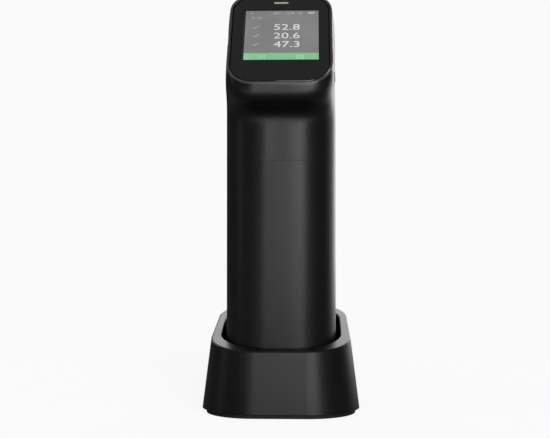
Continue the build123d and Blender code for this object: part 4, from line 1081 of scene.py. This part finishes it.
@dataclass(frozen=True)
class Room:
    """The surroundings: white to the camera, dark with a lit band and corner in reflections.

    The ranges are shares of the direction's own X, Y and Z between which a light fades.
    """

    dark: float = 0.04
    lit: float = 0.60
    ambient: float = 0.16
    band_foot: Pair = (0.1, 0.4)
    band_top: Pair = (0.6, 0.95)
    band_side: Pair = (0.3, 0.7)
    corner_side: Pair = (0.8, 0.98)

    def build(self) -> None:
        """Make the world."""
        world = bpy.data.worlds.new("room")
        bpy.context.scene.world = world
        graph = ShaderGraph(world)
        camera, through, mirror = graph.rays("Camera", "Transmission", "Glossy")
        towards = graph.add("ShaderNodeTexCoord", {}, {}, "Generated")
        split = graph.node("ShaderNodeSeparateXYZ", {}, {0: towards})
        right, behind, up = (Signal(graph, split.outputs[name]) for name in "XYZ")
        band = up.rise(*self.band_foot) * (1.0 - up.rise(*self.band_top))
        band = band * behind.rise(*self.band_side)
        corner = (right * BACK_RIGHT[0] + behind * BACK_RIGHT[1]).rise(*self.corner_side)
        lights = corner.at_least(band)
        seen = camera.at_least(through)
        reflected = mirror * (1.0 - seen)
        level = (
            seen * SEEN_WHITE
            + reflected * (self.dark + lights * (self.lit - self.dark))
            + (1.0 - seen) * (1.0 - mirror) * self.ambient
        )
        sockets = {"Color": opaque(WHITE), "Strength": level}
        shader = graph.add("ShaderNodeBackground", {}, sockets)
        graph.node("ShaderNodeOutputWorld", {}, {"Surface": shader})


@dataclass(frozen=True)
class Floor:
    """The floor: white with a soft shadow to the camera, dark with two lit pools in reflections.

    The ranges of reach and side are distances between which a shadow or a pool fades.
    """

    half_size: float = 6.0
    drop: float = 0.1 * MM
    shadow_grey: float = 0.16
    shadow_white: float = 0.915
    shadow_reach: Pair = (0.12, 0.42)
    unseen_grey: float = 0.15
    pool_light: float = 1.5
    front_reach: Pair = (0.12, 0.7)
    front_side: Pair = (0.25, 0.7)
    front_skew: float = 0.2
    back_spread: Pair = (0.88, 0.98)
    back_reach: Pair = (0.45, 0.8)

    def seen(self, graph: ShaderGraph, reach: Signal) -> Signal:
        """Return the shader that the camera sees.

        Args:
            graph: The floor's graph.
            reach: Distance from the middle.

        Returns:
            Plain white, which takes the object's shadow near the middle.
        """
        near = graph.added(graph.matt(self.shadow_grey), graph.glow(SEEN_WHITE * self.shadow_white))
        return graph.mix(reach.rise(*self.shadow_reach), near, graph.glow(SEEN_WHITE))

    def unseen(self, graph: ShaderGraph, x: Signal, y: Signal, reach: Signal) -> Signal:
        """Return the shader that only reflected and bounced light meets.

        Args:
            graph: The floor's graph.
            x: Place to the right of the middle.
            y: Place behind it.
            reach: Distance from it.

        Returns:
            A grey with one lit pool in front and one behind on the right.
        """
        beside = abs(x + y * self.front_skew).rise(*self.front_side)
        front = (0.0 - y).rise(*self.front_reach) * (1.0 - beside) * self.pool_light
        facing = (x * BACK_RIGHT[0] + y * BACK_RIGHT[1]) / reach
        back = facing.rise(*self.back_spread) * reach.rise(*self.back_reach) * self.pool_light
        return graph.added(graph.matt(self.unseen_grey), graph.glow(front + back))

    def build(self) -> None:
        """Make the floor."""
        mesh = bmesh.new()
        bmesh.ops.create_grid(mesh, x_segments=1, y_segments=1, size=self.half_size)
        material = bpy.data.materials.new("pale_floor")
        graph = ShaderGraph(material)
        camera, through = graph.rays("Camera", "Transmission")
        x, y, _ = graph.axes()
        reach = (x * x + y * y) ** 0.5
        unseen = self.unseen(graph, x, y, reach)
        shader = graph.mix(camera.at_least(through), unseen, self.seen(graph, reach))
        graph.node("ShaderNodeOutputMaterial", {}, {"Surface": shader})
        made = finish_mesh(mesh, "studio_floor", material)
        made.data.transform(Matrix.Translation((0.0, 0.0, -self.drop)))
        LOG.info("%s made", made.name)


@dataclass(frozen=True)
class Viewpoint:
    """The camera: lens and sensor in millimetres, its place, and its angles in degrees."""

    lens: float = 71.7
    sensor: float = 36.0
    place: Point = (0.016, -0.556, 0.0881)
    pitch: float = 90.65
    yaw: float = 2.01
    clipping: Pair = (0.02, 50.0)

    def build(self) -> None:
        """Make the camera."""
        data = bpy.data.cameras.new("camera")
        data.sensor_width = self.sensor
        data.lens = self.lens
        data.clip_start, data.clip_end = self.clipping
        made = bpy.data.objects.new("camera", data)
        made.location = self.place
        made.rotation_euler = (math.radians(self.pitch), 0.0, math.radians(self.yaw))
        bpy.context.scene.collection.objects.link(made)
        bpy.context.scene.camera = made


@dataclass
class Studio:
    """Room, floor, lamps and camera."""

    room: Room = Room()
    floor: Floor = Floor()
    viewpoint: Viewpoint = Viewpoint()
    target: Point = (0.0, 0.0, 0.105)
    softboxes: Tuple[Softbox, ...] = (
        Softbox("front_softbox", 12.5, 6.0, 2.2, 1.14, 2.4, 3.75),
        Softbox("right_strip", 154.0, 10.0, 1.6, 0.8, 2.2, 2.1),
        Softbox("left_strip", -80.0, 6.0, 2.0, 0.4, 2.0, 0.6),
        Softbox("left_high", -150.0, 46.0, 1.6, 0.5, 0.5, 3.0),
        Softbox("back_softbox", 180.0, 32.0, 1.8, 0.9, 0.6, 2.9),
        Softbox("top_softbox", 20.0, 80.0, 1.6, 1.2, 1.2, 0.22),
    )

    def build(self) -> None:
        """Make the whole studio."""
        bpy.context.scene.view_settings.view_transform = "Standard"
        self.room.build()
        self.floor.build()
        for softbox in self.softboxes:
            softbox.build(self.target)
        self.viewpoint.build()


def main() -> None:
    """Build every sub-assembly and the studio."""
    logging.basicConfig(level=logging.INFO, format="%(message)s")
    for part in (CalibrationCradle(), InstrumentCase(), Display(), Insides(), Studio()):
        part.build()
        LOG.info("%s done", type(part).__name__)


if __name__ == "__main__":
    main()
